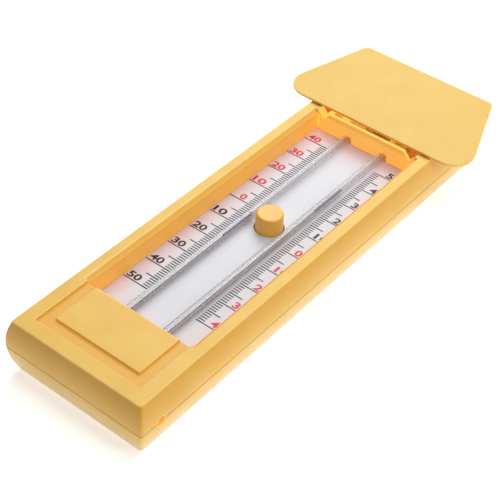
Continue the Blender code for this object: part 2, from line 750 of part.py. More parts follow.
def main():
    """Build every piece."""
    clear_scene()
    yellow = material("yellow_abs", (0.89, 0.62, 0.19), 0.45)
    white = material("white_styrene", (0.80, 0.79, 0.81), 0.5)
    grey = material("grey_plastic", (0.35, 0.36, 0.38), 0.55)
    glass = material("clear_glass", (0.95, 0.97, 0.97), 0.05, 0.0, 1.0)
    spirit = material("clear_spirit", (0.85, 0.90, 0.95), 0.05, 0.0, 0.9)
    silver = material("thread_liquid", (0.62, 0.63, 0.66), 0.2, 0.6)
    blue = material("blue_index", (0.03, 0.04, 0.16), 0.3)
    magnet = material("ferrite_rubber", (0.05, 0.05, 0.05), 0.7)
    steel = material("zinc_steel", (0.62, 0.62, 0.63), 0.35, 1.0)
    foam = material("grey_foam", (0.25, 0.25, 0.26), 0.9)
    make_front_case(yellow)
    make_back_case(yellow)
    make_hood(yellow)
    make_carrier_plate(white)
    make_scale_card(white)
    make_glass_tube(glass)
    make_bulb("bulb_min", -TUBE_X, BULB_MIN_R, BULB_MIN_L, glass)
    make_bulb("bulb_max", TUBE_X, BULB_MAX_R, BULB_MAX_L, glass)
    make_fill("bulb_fill_min", -TUBE_X, BULB_MIN_R, BULB_MIN_L, 1.0, spirit)
    make_fill("bulb_fill_max", TUBE_X, BULB_MAX_R, BULB_MAX_L, 0.78, spirit)
    make_thread(silver)
    make_index("index_min", -TUBE_X, THREAD_MIN_Y, blue)
    make_index("index_max", TUBE_X, THREAD_MAX_Y, blue)
    make_bend_clip(grey)
    make_button(yellow)
    make_magnet_carrier(grey)
    make_magnet("magnet_min", -TUBE_X, magnet)
    make_magnet("magnet_max", TUBE_X, magnet)
    make_button_ring(steel)
    make_spring(steel)
    make_cushion(foam)
    for index, (x, y) in enumerate(SCREWS, 1):
        make_screw(index, x, y, steel)


if __name__ == "__main__":
    main()
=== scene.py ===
"""Looks of a maximum minimum thermometer: fine shapes, finishes, floor, light and camera.

The case lies on its back. X runs across it, Y along it towards the hood, and Z out of its face.
"""

import logging
import math
from dataclasses import dataclass, field
from enum import Enum
from typing import Callable, Optional, Sequence

import bmesh
import bpy
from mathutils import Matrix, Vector


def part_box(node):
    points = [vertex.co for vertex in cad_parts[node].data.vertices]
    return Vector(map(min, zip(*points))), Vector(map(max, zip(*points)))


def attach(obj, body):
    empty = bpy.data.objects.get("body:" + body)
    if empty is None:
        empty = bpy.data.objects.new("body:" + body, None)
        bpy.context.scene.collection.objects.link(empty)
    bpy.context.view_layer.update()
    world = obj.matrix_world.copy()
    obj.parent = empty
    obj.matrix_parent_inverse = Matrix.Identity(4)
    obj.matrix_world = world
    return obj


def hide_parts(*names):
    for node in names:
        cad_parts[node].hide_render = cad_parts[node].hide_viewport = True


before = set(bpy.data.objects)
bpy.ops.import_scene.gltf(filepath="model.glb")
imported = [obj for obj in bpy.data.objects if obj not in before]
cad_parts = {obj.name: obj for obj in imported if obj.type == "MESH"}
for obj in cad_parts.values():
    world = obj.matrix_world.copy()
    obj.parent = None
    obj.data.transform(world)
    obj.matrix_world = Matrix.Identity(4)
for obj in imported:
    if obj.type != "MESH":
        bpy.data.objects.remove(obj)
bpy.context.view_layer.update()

LOG = logging.getLogger("thermometer")
MM = 0.001
WELD = 0.002 * MM
# How close to a plane a place counts as on it, and how squarely a face on it looks out.
ON_PLANE = 0.1 * MM
SQUARE = 0.9
Pair = tuple[float, float]
Triple = tuple[float, float, float]
Rgba = tuple[float, float, float, float]
Tree = bpy.types.NodeTree
Socket = bpy.types.NodeSocket
Test = Callable[[Vector, Vector], bool]


# ---------------------------------------------------------------- bench: shaping meshes

class Kind(Enum):
    """What a pick in edit mode takes."""

    VERT = "VERT"
    EDGE = "EDGE"
    FACE = "FACE"


class Axis(Enum):
    """The axis that a turned piece is spun about."""

    Y = (0.0, 1.0, 0.0)
    Z = (0.0, 0.0, 1.0)

    def place(self, centre: Vector, radius: float, height: float) -> Vector:
        """Return the point on a turned profile at a radius and a height in mm."""
        return centre + Vector((radius, 0.0, 0.0)) * MM + Vector(self.value) * height * MM


def deselect_all() -> None:
    """Leave edit mode and deselect every object."""
    if bpy.context.object is not None and bpy.context.object.mode != "OBJECT":
        bpy.ops.object.mode_set(mode="OBJECT")
    bpy.ops.object.select_all(action="DESELECT")


def everything(place: Vector, facing: Vector) -> bool:
    """Pass any vertex, edge or face, wherever it is."""
    return True


class Workpiece:
    """One mesh object on the bench, shaped with edit mode operators and modifiers."""

    def __init__(self, obj: bpy.types.Object) -> None:
        """Take an object onto the bench."""
        self.obj = obj

    @classmethod
    def added(cls, name: str, operator: Callable, size_by: Sequence[float] = (1.0, 1.0, 1.0),
              **settings: object) -> "Workpiece":
        """Add a primitive and settle its place into its mesh.

        Args:
            name: The new object's name.
            operator: The bpy.ops operator that adds the primitive.
            size_by: What the primitive is scaled by along its own axes.
            settings: The operator's settings.

        Returns:
            The new piece.
        """
        deselect_all()
        operator(**settings)
        piece = cls(bpy.context.object)
        piece.obj.name = piece.obj.data.name = name
        piece.obj.scale = size_by
        return piece.settled()

    @classmethod
    def from_node(cls, name: str, node: str) -> "Workpiece":
        """Copy a CAD node's mesh, weld its loose triangles and join its flat faces.

        Args:
            name: The new object's name.
            node: The CAD node to copy.

        Returns:
            The new piece, at the node's place.
        """
        obj = bpy.data.objects.new(name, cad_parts[node].data.copy())
        obj.data.name = name
        bpy.context.scene.collection.objects.link(obj)
        piece = cls(obj)
        piece.pick(Kind.VERT, everything)
        bpy.ops.mesh.customdata_custom_splitnormals_clear()
        bpy.ops.mesh.remove_doubles(threshold=WELD)
        bpy.ops.mesh.dissolve_limited(angle_limit=math.radians(0.6))
        obj.data.materials.clear()
        return piece

    def take_up(self) -> None:
        """Make the piece the active object and the only one selected."""
        deselect_all()
        self.obj.select_set(True)
        bpy.context.view_layer.objects.active = self.obj

    def settled(self) -> "Workpiece":
        """Put the object's place, turn and scale into its mesh.

        Returns:
            The same piece.
        """
        self.take_up()
        bpy.ops.object.transform_apply(location=True, rotation=True, scale=True)
        return self

    def pick(self, kind: Kind, test: Test) -> None:
        """Enter edit mode and select what passes a test, with all else deselected.

        Args:
            kind: Vertices, edges or faces.
            test: Given a place in metres and a normal (for an edge, its direction), says yes or no.
        """
        if self.obj.mode != "EDIT":
            self.take_up()
            bpy.ops.object.mode_set(mode="EDIT")
        bpy.ops.mesh.select_mode(type=kind.value)
        bpy.ops.mesh.select_all(action="DESELECT")
        shape = bmesh.from_edit_mesh(self.obj.data)
        shape.normal_update()
        if kind is Kind.FACE:
            items = [(f, f.calc_center_median(), f.normal) for f in shape.faces]
        elif kind is Kind.EDGE:
            items = [(e, self.middle(e), (e.verts[1].co - e.verts[0].co).normalized()) for e in shape.edges]
        else:
            items = [(v, v.co, v.normal) for v in shape.verts]
        for item, place, facing in items:
            if test(place, facing):
                item.select_set(True)
        shape.select_flush_mode()
        bmesh.update_edit_mesh(self.obj.data)

    @staticmethod
    def middle(edge: bmesh.types.BMEdge) -> Vector:
        """Return the middle of an edge."""
        return (edge.verts[0].co + edge.verts[1].co) / 2.0

    def round_corners(self, turn: float, radius: float, test: Callable[[Vector], bool]) -> None:
        """Round the outward edges that turn sharply, in the second finish.

        Args:
            turn: The least angle an edge turns by, in degrees.
            radius: The width of the rounding, in mm.
            test: Given the middle of an edge in metres, says yes or no.
        """
        self.pick(Kind.EDGE, lambda place, facing: False)
        shape = bmesh.from_edit_mesh(self.obj.data)
        for edge in shape.edges:
            if len(edge.link_faces) == 2 and edge.is_convex and test(self.middle(edge)):
                if math.degrees(edge.calc_face_angle(0.0)) > turn:
                    edge.select_set(True)
        bmesh.update_edit_mesh(self.obj.data)
        bpy.ops.mesh.bevel(offset=radius * MM, offset_type="OFFSET", segments=3, affect="EDGES",
                           clamp_overlap=False, material=1)

    def modify(self, kind: str, **settings: object) -> "Workpiece":
        """Add a modifier and apply it.

        Args:
            kind: The modifier's type name.
            settings: The modifier's own properties.

        Returns:
            The same piece.
        """
        self.take_up()
        modifier = self.obj.modifiers.new(kind.lower(), kind)
        for key, value in settings.items():
            setattr(modifier, key, value)
        bpy.ops.object.modifier_apply(modifier=modifier.name)
        return self

    def cut(self, cutter: "Workpiece") -> "Workpiece":
        """Cut another piece out of this one and throw the cutter away.

        Args:
            cutter: The piece that is taken away.

        Returns:
            The same piece.
        """
        self.modify("BOOLEAN", operation="DIFFERENCE", solver="EXACT", object=cutter.obj)
        bpy.data.objects.remove(cutter.obj, do_unlink=True)
        return self

    def welded(self) -> "Workpiece":
        """Merge doubled points and turn every face outwards.

        Returns:
            The same piece.
        """
        self.pick(Kind.VERT, everything)
        bpy.ops.mesh.remove_doubles(threshold=WELD)
        bpy.ops.mesh.normals_make_consistent(inside=False)
        deselect_all()
        return self

    def smoothed(self, angle: float = 35.0) -> "Workpiece":
        """Shade smooth across the flatter edges.

        Args:
            angle: The sharpest turn that is smoothed, in degrees.

        Returns:
            The same piece.
        """
        self.take_up()
        bpy.ops.object.shade_smooth_by_angle(angle=math.radians(angle))
        return self.modify("WEIGHTED_NORMAL", keep_sharp=True, weight=60)

    def copied(self, name: str, shift: Vector) -> "Workpiece":
        """Copy the piece with its own mesh.

        Args:
            name: The copy's name.
            shift: How far it is moved, in metres.

        Returns:
            The copy.
        """
        self.take_up()
        twin = self.obj.copy()
        twin.data = self.obj.data.copy()
        twin.name = twin.data.name = name
        bpy.context.scene.collection.objects.link(twin)
        twin.location = shift
        return Workpiece(twin).settled()

    def coated(self, *finishes: "Finish") -> "Workpiece":
        """Give the piece its finishes.

        Args:
            finishes: The finishes, in the order of the material slots.

        Returns:
            The same piece.
        """
        for finish in finishes:
            self.obj.data.materials.append(finish.material())
        return self

    def finish_picked(self, slot: int) -> None:
        """Give the selected faces another finish.

        Args:
            slot: The number of its material slot.
        """
        shape = bmesh.from_edit_mesh(self.obj.data)
        for face in shape.faces:
            if face.select:
                face.material_index = slot
        bmesh.update_edit_mesh(self.obj.data)

    def dressed(self, body: str, slot: str, *finishes: "Finish", replaces: Sequence[str] = ()) -> "Workpiece":
        """Give the piece its finishes and hang it on its body.

        Args:
            body: The CAD body it moves with.
            slot: The record's material slot, or an empty string where it has none. It is not used.
            finishes: The finishes for its material slots, in order, where it has none yet.
            replaces: The CAD nodes that it stands for.

        Returns:
            The same piece.
        """
        deselect_all()
        self.coated(*finishes)
        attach(self.obj, body)
        if replaces:
            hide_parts(*replaces)
        LOG.info("%s: %d faces, on %s", self.obj.name, len(self.obj.data.polygons), body)
        return self


def turned(name: str, profile: Sequence[Pair], centre: Vector, axis: Axis,
           steps: int = 64) -> Workpiece:
    """Draw a profile by extruding a point, and spin it round an axis.

    Args:
        name: The new object's name.
        profile: Pairs of radius and height in mm, from pole to pole or round a closed ring.
        centre: The point on the axis at height 0, in metres.
        axis: The axis to spin about.
        steps: The number of steps in the full turn.

    Returns:
        The turned piece.
    """
    points = [axis.place(centre, radius, height) for radius, height in profile]
    piece = Workpiece.added(name, bpy.ops.mesh.primitive_plane_add, size=MM, location=points[0])
    piece.pick(Kind.VERT, everything)
    bpy.ops.mesh.merge(type="CENTER")
    for before, after in zip(points, points[1:]):
        bpy.ops.mesh.extrude_region_move(TRANSFORM_OT_translate={"value": after - before})
    piece.pick(Kind.VERT, everything)
    bpy.ops.mesh.spin(steps=steps, angle=math.tau, center=centre, axis=axis.value)
    return piece.welded()


def join(name: str, pieces: Sequence[Workpiece]) -> Workpiece:
    """Join pieces into one.

    Args:
        name: The joined object's name.
        pieces: The pieces, the first of which takes up the rest.

    Returns:
        The first piece.
    """
    pieces[0].take_up()
    for other in pieces[1:]:
        other.obj.select_set(True)
    bpy.ops.object.join()
    pieces[0].obj.name = pieces[0].obj.data.name = name
    return pieces[0]


def box_centre(node: str) -> Vector:
    """Return the middle of a CAD node's box."""
    low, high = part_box(node)
    return (low + high) / 2.0


def block(name: str, low: Vector, high: Vector) -> Workpiece:
    """Return a box between two corners in metres, as a start for shaping."""
    return Workpiece.added(name, bpy.ops.mesh.primitive_cube_add, high - low, size=1.0,
                           location=(low + high) / 2.0)


# ---------------------------------------------------------------- finishes

def linear(code: str) -> Rgba:
    """Turn an sRGB hex code into a linear colour.

    Args:
        code: Six hex digits.

    Returns:
        Red, green and blue from 0 to 1, and an alpha of 1.
    """
    def channel(pair: str) -> float:
        """Return one channel's linear value."""
        value = int(pair, 16) / 255.0
        return value / 12.92 if value <= 0.04045 else ((value + 0.055) / 1.055) ** 2.4

    return channel(code[0:2]), channel(code[2:4]), channel(code[4:6]), 1.0


def add(tree: Tree, kind: str, inputs: Optional[dict] = None,
        **settings: object) -> bpy.types.Node:
    """Add a node, set its properties, then set or link its inputs.

    Args:
        tree: The material's node tree.
        kind: The node's type name.
        inputs: Values or output sockets by input name or number.
        settings: The node's own properties.

    Returns:
        The new node.
    """
    node = tree.nodes.new(kind)
    node.location = (len(tree.nodes) * 190.0, 0.0)
    for key, value in settings.items():
        setattr(node, key, value)
    for key, value in (inputs or {}).items():
        if isinstance(value, Socket):
            tree.links.new(value, node.inputs[key])
        else:
            node.inputs[key].default_value = value
    return node


class Finish:
    """A finish that becomes one node material, made once."""

    name: str

    def material(self) -> bpy.types.Material:
        """Build the finish's nodes the first time it is asked for.

        Returns:
            The finish's material.
        """
        found = bpy.data.materials.get(self.name)
        if found is not None:
            return found
        made = bpy.data.materials.new(self.name)
        made.use_nodes = True
        made.node_tree.nodes.clear()
        shader = self.shade(made.node_tree)
        add(made.node_tree, "ShaderNodeOutputMaterial", {"Surface": shader})
        return made

    def shade(self, tree: Tree) -> Socket:
        """Build the finish's nodes and return the shader's output."""
        raise NotImplementedError

    def paint(self, *names: str) -> None:
        """Put the finish on CAD nodes whose shape is right already.

        Args:
            names: The CAD nodes.
        """
        for name in names:
            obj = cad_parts[name]
            obj.data.materials.clear()
            obj.data.materials.append(self.material())
            LOG.info("%s: kept, now %s", name, self.name)


@dataclass(frozen=True)
class MouldedAbs(Finish):
    """Injection-moulded ABS: an even satin colour with a fine spark-eroded grain.

    A painted warm glow, which is emission and no lamp, can stand in for the light that its thin walls pass.
    """

    name: str
    colour: str = "ECBE50"
    shade_colour: str = "E8B646"
    glow_colour: str = "FFBE58"
    glow: float = 0.0
    roughness: float = 0.45
    gloss_spread: float = 0.06
    grain: float = 0.7
    grain_height: float = 0.03
    flow_mark: float = 14.0

    def shade(self, tree: Tree) -> Socket:
        """Build satin plastic with grain and mottle, then what its own kind adds.

        Args:
            tree: The material's node tree.

        Returns:
            The shader's output.
        """
        where = add(tree, "ShaderNodeTexCoord").outputs["Object"]
        # Flow marks about 14 mm across, just enough to break up the flat faces.
        mottle = add(tree, "ShaderNodeTexNoise", {"Vector": where, "Scale": 1.0 / (self.flow_mark * MM),
                                                  "Detail": 2.0})
        # The real grain is near 0.2 mm; it is drawn coarser so that it shows.
        grain = add(tree, "ShaderNodeTexNoise", {"Vector": where, "Scale": 1.0 / (self.grain * MM),
                                                 "Detail": 2.0})
        tint = add(tree, "ShaderNodeMapRange", {"Value": mottle.outputs["Fac"], "From Min": 0.35,
                                                "From Max": 0.65})
        colour = add(tree, "ShaderNodeMix", {"Factor": tint.outputs["Result"], "A": linear(self.colour),
                                             "B": linear(self.shade_colour)}, data_type="RGBA")
        bump = add(tree, "ShaderNodeBump", {"Height": grain.outputs["Fac"], "Strength": 0.5,
                                            "Distance": self.grain_height * MM})
        rough = add(tree, "ShaderNodeMapRange", {"Value": grain.outputs["Fac"],
                                                 "To Min": self.roughness - self.gloss_spread,
                                                 "To Max": self.roughness + self.gloss_spread})
        # The emission is a painted glow, from no lamp.
        settings = {"Base Color": colour.outputs[2], "Roughness": rough.outputs["Result"], "IOR": 1.53,
                    "Normal": bump.outputs["Normal"], "Emission Color": linear(self.glow_colour),
                    "Emission Strength": self.glow}
        self.work(tree, where, settings)
        return add(tree, "ShaderNodeBsdfPrincipled", settings).outputs["BSDF"]

    def work(self, tree: Tree, where: Socket, settings: dict) -> None:
        """Leave the plastic plain."""


class Measure(Enum):
    """What a zone of the case is measured by."""

    ACROSS = "from the middle, either way"
    ALONG = "along Y"
    HEIGHT = "along Z"
    SEAM = "from the parting line, up or down"
    DRAIN = "from the axis of the drain holes"


class Region(Enum):
    """The part of the case that a zone is kept to."""

    ALL = "all of it"
    INSIDE = "inside the rim and below its face"
    OUTSIDE = "the outer walls"


Span = tuple[Measure, float, float]


@dataclass(frozen=True)
class Zone:
    """Where a painted tint of light or shade, or a painted glow, lies on the case.

    Each span is a measure and two places in mm, and rises from nothing at the first place to full at the
    second. The zone is where its region and all its spans overlap.
    """

    region: Region
    strength: float
    spans: tuple[Span, ...]
    colour: str = ""
    joined_by: str = "ADD"


GROOVE = (Measure.ALONG, -80.9, -81.3)


@dataclass(frozen=True)
class CaseAbs(MouldedAbs):
    """The case's ABS, with painted light: shade that deepens its colour in hollows and under the rim, a pale
    foot lit by painted floor bounce, and a painted glow inside the window and behind the partition.
    """

    pocket_colour: str = "F0AE3C"
    seam_z: float = 13.6
    drain_y: float = -108.2
    plan: tuple[Span, ...] = ((Measure.ACROSS, 31.6, 31.2), (Measure.ALONG, -115.2, -114.8),
                              (Measure.ALONG, 114.6, 114.2))
    below_face: tuple[Span, ...] = ((Measure.HEIGHT, 26.46, 26.1),)
    tints: tuple[Zone, ...] = (
        # Painted shade: the groove round the pad, a recess over a hollow, is made deep in colour.
        Zone(Region.INSIDE, 1.0, (GROOVE,), "B08200"),
        # Painted light on the outer walls: painted shade deepens their colour under the rim, and painted
        # bounce light from the floor makes their foot pale.
        Zone(Region.OUTSIDE, 0.75, ((Measure.HEIGHT, 12.0, 25.0), (Measure.HEIGHT, 26.3, 25.6)), "DC9C0C"),
        Zone(Region.OUTSIDE, 0.75, ((Measure.HEIGHT, 15.0, 0.0),), "F0DCB6"),
        # The parting line holds a hair of shadow.
        Zone(Region.ALL, 0.7, ((Measure.SEAM, 0.22, 0.12),), "8A4A10"),
    )
    glows: tuple[Zone, ...] = (
        # Painted glow, standing in for light through thin walls: on the partition, more on the chamber's
        # walls, and on the window's walls.
        Zone(Region.INSIDE, 0.34, ((Measure.ALONG, 71.0, 71.9),)),
        Zone(Region.INSIDE, 0.30, ((Measure.ALONG, 72.6, 73.4),)),
        Zone(Region.INSIDE, 0.26, ((Measure.HEIGHT, 26.5, 23.5),)),
        # More painted glow on the groove's floor and in the drain holes.
        Zone(Region.INSIDE, 0.34, (GROOVE,), joined_by="MAXIMUM"),
        Zone(Region.ALL, 0.4, ((Measure.DRAIN, 2.6, 2.3),), joined_by="MAXIMUM"),
    )

    def work(self, tree: Tree, where: Socket, settings: dict) -> None:
        """Paint shade and light into the zones of the case, and a painted glow for the light through its
        walls.

        Args:
            tree: The material's node tree.
            where: The object coordinates.
            settings: The shader's inputs so far, which are changed.
        """
        places = self.places(tree, where)
        plan = self.overlap(tree, places, self.plan, None)
        outside = add(tree, "ShaderNodeMath", {0: 1.0, 1: plan}, operation="SUBTRACT")
        regions = {Region.ALL: None, Region.OUTSIDE: outside.outputs[0],
                   Region.INSIDE: self.overlap(tree, places, self.below_face, plan)}
        # Painted shade: the colour deepens in the hollows below the face, inside the rim.
        pocket_shade = Zone(Region.INSIDE, 0.9, ((Measure.HEIGHT, 26.3, 25.4),), self.pocket_colour)
        for zone in (pocket_shade,) + self.tints:
            amount = self.overlap(tree, places, zone.spans, regions[zone.region], zone.strength)
            mixed = add(tree, "ShaderNodeMix", {"Factor": amount, "A": settings["Base Color"],
                                                "B": linear(zone.colour)}, data_type="RGBA")
            settings["Base Color"] = mixed.outputs[2]
        # The glows add up to a painted emission, from no lamp.
        light = None
        for zone in self.glows:
            amount = self.overlap(tree, places, zone.spans, regions[zone.region], zone.strength)
            if light is not None:
                amount = add(tree, "ShaderNodeMath", {0: light, 1: amount},
                             operation=zone.joined_by).outputs[0]
            light = amount
        settings["Emission Strength"] = light

    def places(self, tree: Tree, where: Socket) -> dict[Measure, Socket]:
        """Build the measures that the zones use.

        Args:
            tree: The material's node tree.
            where: The object coordinates.

        Returns:
            The output of each measure, in metres.
        """
        axes = add(tree, "ShaderNodeSeparateXYZ", {"Vector": where}).outputs
        across = add(tree, "ShaderNodeMath", {0: axes["X"]}, operation="ABSOLUTE")
        above = add(tree, "ShaderNodeMath", {0: axes["Z"], 1: self.seam_z * MM}, operation="SUBTRACT")
        seam = add(tree, "ShaderNodeMath", {0: above.outputs[0]}, operation="ABSOLUTE")
        side_on = add(tree, "ShaderNodeCombineXYZ", {"Y": axes["Y"], "Z": axes["Z"]})
        drain = add(tree, "ShaderNodeVectorMath", {0: side_on.outputs["Vector"],
                                                   1: (0.0, self.drain_y * MM, self.seam_z * MM)},
                    operation="DISTANCE")
        return {Measure.ACROSS: across.outputs[0], Measure.ALONG: axes["Y"], Measure.HEIGHT: axes["Z"],
                Measure.SEAM: seam.outputs[0], Measure.DRAIN: drain.outputs["Value"]}

    @staticmethod
    def overlap(tree: Tree, places: dict[Measure, Socket], spans: Sequence[Span], region: Optional[Socket],
                strength: float = 1.0) -> Socket:
        """Find where spans and a region overlap.

        Args:
            tree: The material's node tree.
            places: The output of each measure.
            spans: The spans.
            region: How far a place is in the region, or None for everywhere.
            strength: The amount where all are full.

        Returns:
            The amount, from 0 to the strength.
        """
        for measure, start, end in spans:
            rise = add(tree, "ShaderNodeMapRange", {"Value": places[measure], "From Min": start * MM,
                                                    "From Max": end * MM, "To Max": strength})
            strength = 1.0
            if region is None:
                region = rise.outputs["Result"]
            else:
                region = add(tree, "ShaderNodeMath", {0: region, 1: rise.outputs["Result"]},
                             operation="MULTIPLY").outputs[0]
        return region


@dataclass(frozen=True)
class RibbedAbs(MouldedAbs):
    """The hood's ABS: fine crossed ribs in the bump, with painted shade darkening the valleys between them.
    """

    valley_colour: str = "E2B040"
    pitch: float = 1.25
    rib_height: float = 0.12
    turns: Pair = (-17.4, 72.6)

    def work(self, tree: Tree, where: Socket, settings: dict) -> None:
        """Add the ribs to the bump, and painted shade in their valleys to the colour.

        Args:
            tree: The material's node tree.
            where: The object coordinates.
            settings: The shader's inputs so far, which are changed.
        """
        # A wave band repeats every tau / 20 m at scale 1.
        scale = math.tau / 20.0 / (self.pitch * MM)
        waves = []
        for turn in self.turns:
            laid = add(tree, "ShaderNodeMapping", {"Vector": where,
                                                   "Rotation": (0.0, 0.0, math.radians(turn))})
            wave = add(tree, "ShaderNodeTexWave", {"Vector": laid.outputs["Vector"], "Distortion": 0.0,
                                                   "Scale": scale})
            waves.append(wave.outputs["Fac"])
        crossed = add(tree, "ShaderNodeMath", {0: waves[0], 1: waves[1]}, operation="MULTIPLY")
        weave = add(tree, "ShaderNodeMath", {0: waves[0], 1: crossed.outputs[0]}, operation="ADD").outputs[0]
        # Painted shade: the valleys between the ribs are darkened.
        valley_shade = add(tree, "ShaderNodeMapRange", {"Value": weave, "From Min": 0.1, "From Max": 1.4,
                                                  "To Min": 0.62, "To Max": 0.0})
        colour = add(tree, "ShaderNodeMix", {"Factor": valley_shade.outputs["Result"], "A": settings["Base Color"],
                                             "B": linear(self.valley_colour)}, data_type="RGBA")
        bump = add(tree, "ShaderNodeBump", {"Height": weave, "Strength": 0.6,
                                            "Distance": self.rib_height * MM, "Normal": settings["Normal"]})
        settings["Base Color"], settings["Normal"] = colour.outputs[2], bump.outputs["Normal"]


@dataclass(frozen=True)
class PrintedStyrene(Finish):
    """White polystyrene sheet: a cool satin white, with painted pink and yellow bounce light near the case
    walls.
    """

    name: str = "Polystyrene sheet, white"
    colour: str = "D2D3D9"
    edge_colour: str = "E8C0CA"
    side_x: Pair = (15.0, 26.0)
    far_y: Pair = (50.0, 70.0)
    near_y: Pair = (-66.0, -82.0)

    def shade(self, tree: Tree) -> Socket:
        """Build satin white with painted warm bounce light towards the edges of the card.

        Args:
            tree: The material's node tree.

        Returns:
            The shader's output.
        """
        where = add(tree, "ShaderNodeTexCoord").outputs["Object"]
        axes = add(tree, "ShaderNodeSeparateXYZ", {"Vector": where}).outputs
        across = add(tree, "ShaderNodeMath", {0: axes["X"]}, operation="ABSOLUTE").outputs[0]
        edge = None
        for place, span in ((across, self.side_x), (axes["Y"], self.far_y), (axes["Y"], self.near_y)):
            rise = add(tree, "ShaderNodeMapRange", {"Value": place, "From Min": span[0] * MM,
                                                    "From Max": span[1] * MM},
                       interpolation_type="SMOOTHSTEP").outputs["Result"]
            if edge is not None:
                rise = add(tree, "ShaderNodeMath", {0: edge, 1: rise}, operation="MAXIMUM").outputs[0]
            edge = rise
        # Faint clouding about 9 mm across breaks up the painted bounce light, and varies the gloss as ink and
        # handling leave on white sheet.
        cloud = add(tree, "ShaderNodeTexNoise", {"Vector": where, "Scale": 1.0 / (9.0 * MM), "Detail": 3.0})
        amount = add(tree, "ShaderNodeMath", {0: edge, 1: cloud.outputs["Fac"]}, operation="MULTIPLY")
        colour = add(tree, "ShaderNodeMix", {"Factor": amount.outputs[0], "A": linear(self.colour),
                                             "B": linear(self.edge_colour)}, data_type="RGBA")
        # Rolled sheet has a fine tooth, drawn at 0.8 mm so that it shows.
        tooth = add(tree, "ShaderNodeTexNoise", {"Vector": where, "Scale": 1.0 / (0.8 * MM)})
        bump = add(tree, "ShaderNodeBump", {"Height": tooth.outputs["Fac"], "Strength": 0.2,
                                            "Distance": 0.02 * MM})
        rough = add(tree, "ShaderNodeMapRange", {"Value": cloud.outputs["Fac"], "To Min": 0.40,
                                                 "To Max": 0.50})
        return add(tree, "ShaderNodeBsdfPrincipled",
                   {"Base Color": colour.outputs[2], "Roughness": rough.outputs["Result"], "IOR": 1.59,
                    "Normal": bump.outputs["Normal"]}).outputs["BSDF"]


@dataclass(frozen=True)
class ScreenInk(Finish):
    """Screen-printed ink: flat, slightly thin in places, with the dull gloss of dried ink."""

    name: str
    colour: str
    thin_colour: str

    def shade(self, tree: Tree) -> Socket:
        """Build ink that varies a little in density.

        Args:
            tree: The material's node tree.

        Returns:
            The shader's output.
        """
        where = add(tree, "ShaderNodeTexCoord").outputs["Object"]
        # Ink takes unevenly over about 1.5 mm.
        density = add(tree, "ShaderNodeTexNoise", {"Vector": where, "Scale": 1.0 / (1.5 * MM), "Detail": 2.0})
        colour = add(tree, "ShaderNodeMix", {"Factor": density.outputs["Fac"], "A": linear(self.colour),
                                             "B": linear(self.thin_colour)}, data_type="RGBA")
        return add(tree, "ShaderNodeBsdfPrincipled", {"Base Color": colour.outputs[2], "Roughness": 0.5,
                                                      "IOR": 1.5}).outputs["BSDF"]


@dataclass(frozen=True)
class LeadGlass(Finish):
    """Drawn lead glass: clear, greyer where it is seen edge on, with a bright line along its crown."""

    name: str = "Lead glass, drawn"
    clear: str = "F8F8F9"
    edge: str = "C6C8CA"
    cloud: str = "DADADB"

    def shade(self, tree: Tree) -> Socket:
        """Build see-through glass that thickens to grey at its edges, with drawing lines along Y.

        Args:
            tree: The material's node tree.

        Returns:
            The shader's output.
        """
        where = add(tree, "ShaderNodeTexCoord").outputs["Object"]
        # Drawing lines are 0.5 mm apart round the tube and run on for about 40 mm.
        drawn = add(tree, "ShaderNodeMapping", {"Vector": where, "Scale": (2000.0, 25.0, 2000.0)})
        lines = add(tree, "ShaderNodeTexNoise", {"Vector": drawn.outputs["Vector"], "Scale": 1.0,
                                                 "Detail": 1.0})
        colour = add(tree, "ShaderNodeMix", {"Factor": lines.outputs["Fac"], "A": linear(self.cloud),
                                             "B": linear(self.edge)}, data_type="RGBA")
        body = add(tree, "ShaderNodeBsdfPrincipled", {"Base Color": colour.outputs[2], "IOR": 1.54,
                                                      "Roughness": 0.3})
        clear = add(tree, "ShaderNodeBsdfTransparent", {"Color": linear(self.clear)})
        edge_on = add(tree, "ShaderNodeLayerWeight", {"Blend": 0.5})
        amount = add(tree, "ShaderNodeMapRange", {"Value": edge_on.outputs["Facing"], "From Min": 0.2,
                                                  "From Max": 0.98, "To Min": 0.05, "To Max": 0.34})
        wall = add(tree, "ShaderNodeMixShader", {"Fac": amount.outputs["Result"], 1: clear.outputs["BSDF"],
                                                 2: body.outputs["BSDF"]})
        gloss = add(tree, "ShaderNodeBsdfPrincipled", {"Base Color": linear("FFFFFF"), "Metallic": 1.0,
                                                       "Roughness": 0.17})
        shine = add(tree, "ShaderNodeMapRange", {"Value": edge_on.outputs["Facing"], "From Min": 0.5,
                                                 "From Max": 1.0, "To Min": 0.03, "To Max": 0.08})
        return add(tree, "ShaderNodeMixShader", {"Fac": shine.outputs["Result"], 1: wall.outputs["Shader"],
                                                 2: gloss.outputs["BSDF"]}).outputs["Shader"]


@dataclass(frozen=True)
class ClearSpirit(Finish):
    """Clear spirit filling the bulbs: hardly coloured, with a slow swirl in its density."""

    name: str = "Spirit, clear"
    colour: str = "EEF2F6"
    swirl_colour: str = "E2E8EF"

    def shade(self, tree: Tree) -> Socket:
        """Build a clear liquid.

        Args:
            tree: The material's node tree.

        Returns:
            The shader's output.
        """
        where = add(tree, "ShaderNodeTexCoord").outputs["Object"]
        swirl = add(tree, "ShaderNodeTexNoise", {"Vector": where, "Scale": 1.0 / (6.0 * MM)})
        colour = add(tree, "ShaderNodeMix", {"Factor": swirl.outputs["Fac"], "A": linear(self.colour),
                                             "B": linear(self.swirl_colour)}, data_type="RGBA")
        return add(tree, "ShaderNodeBsdfPrincipled",
                   {"Base Color": colour.outputs[2], "Roughness": 0.02, "IOR": 1.36,
                    "Transmission Weight": 1.0}).outputs["BSDF"]


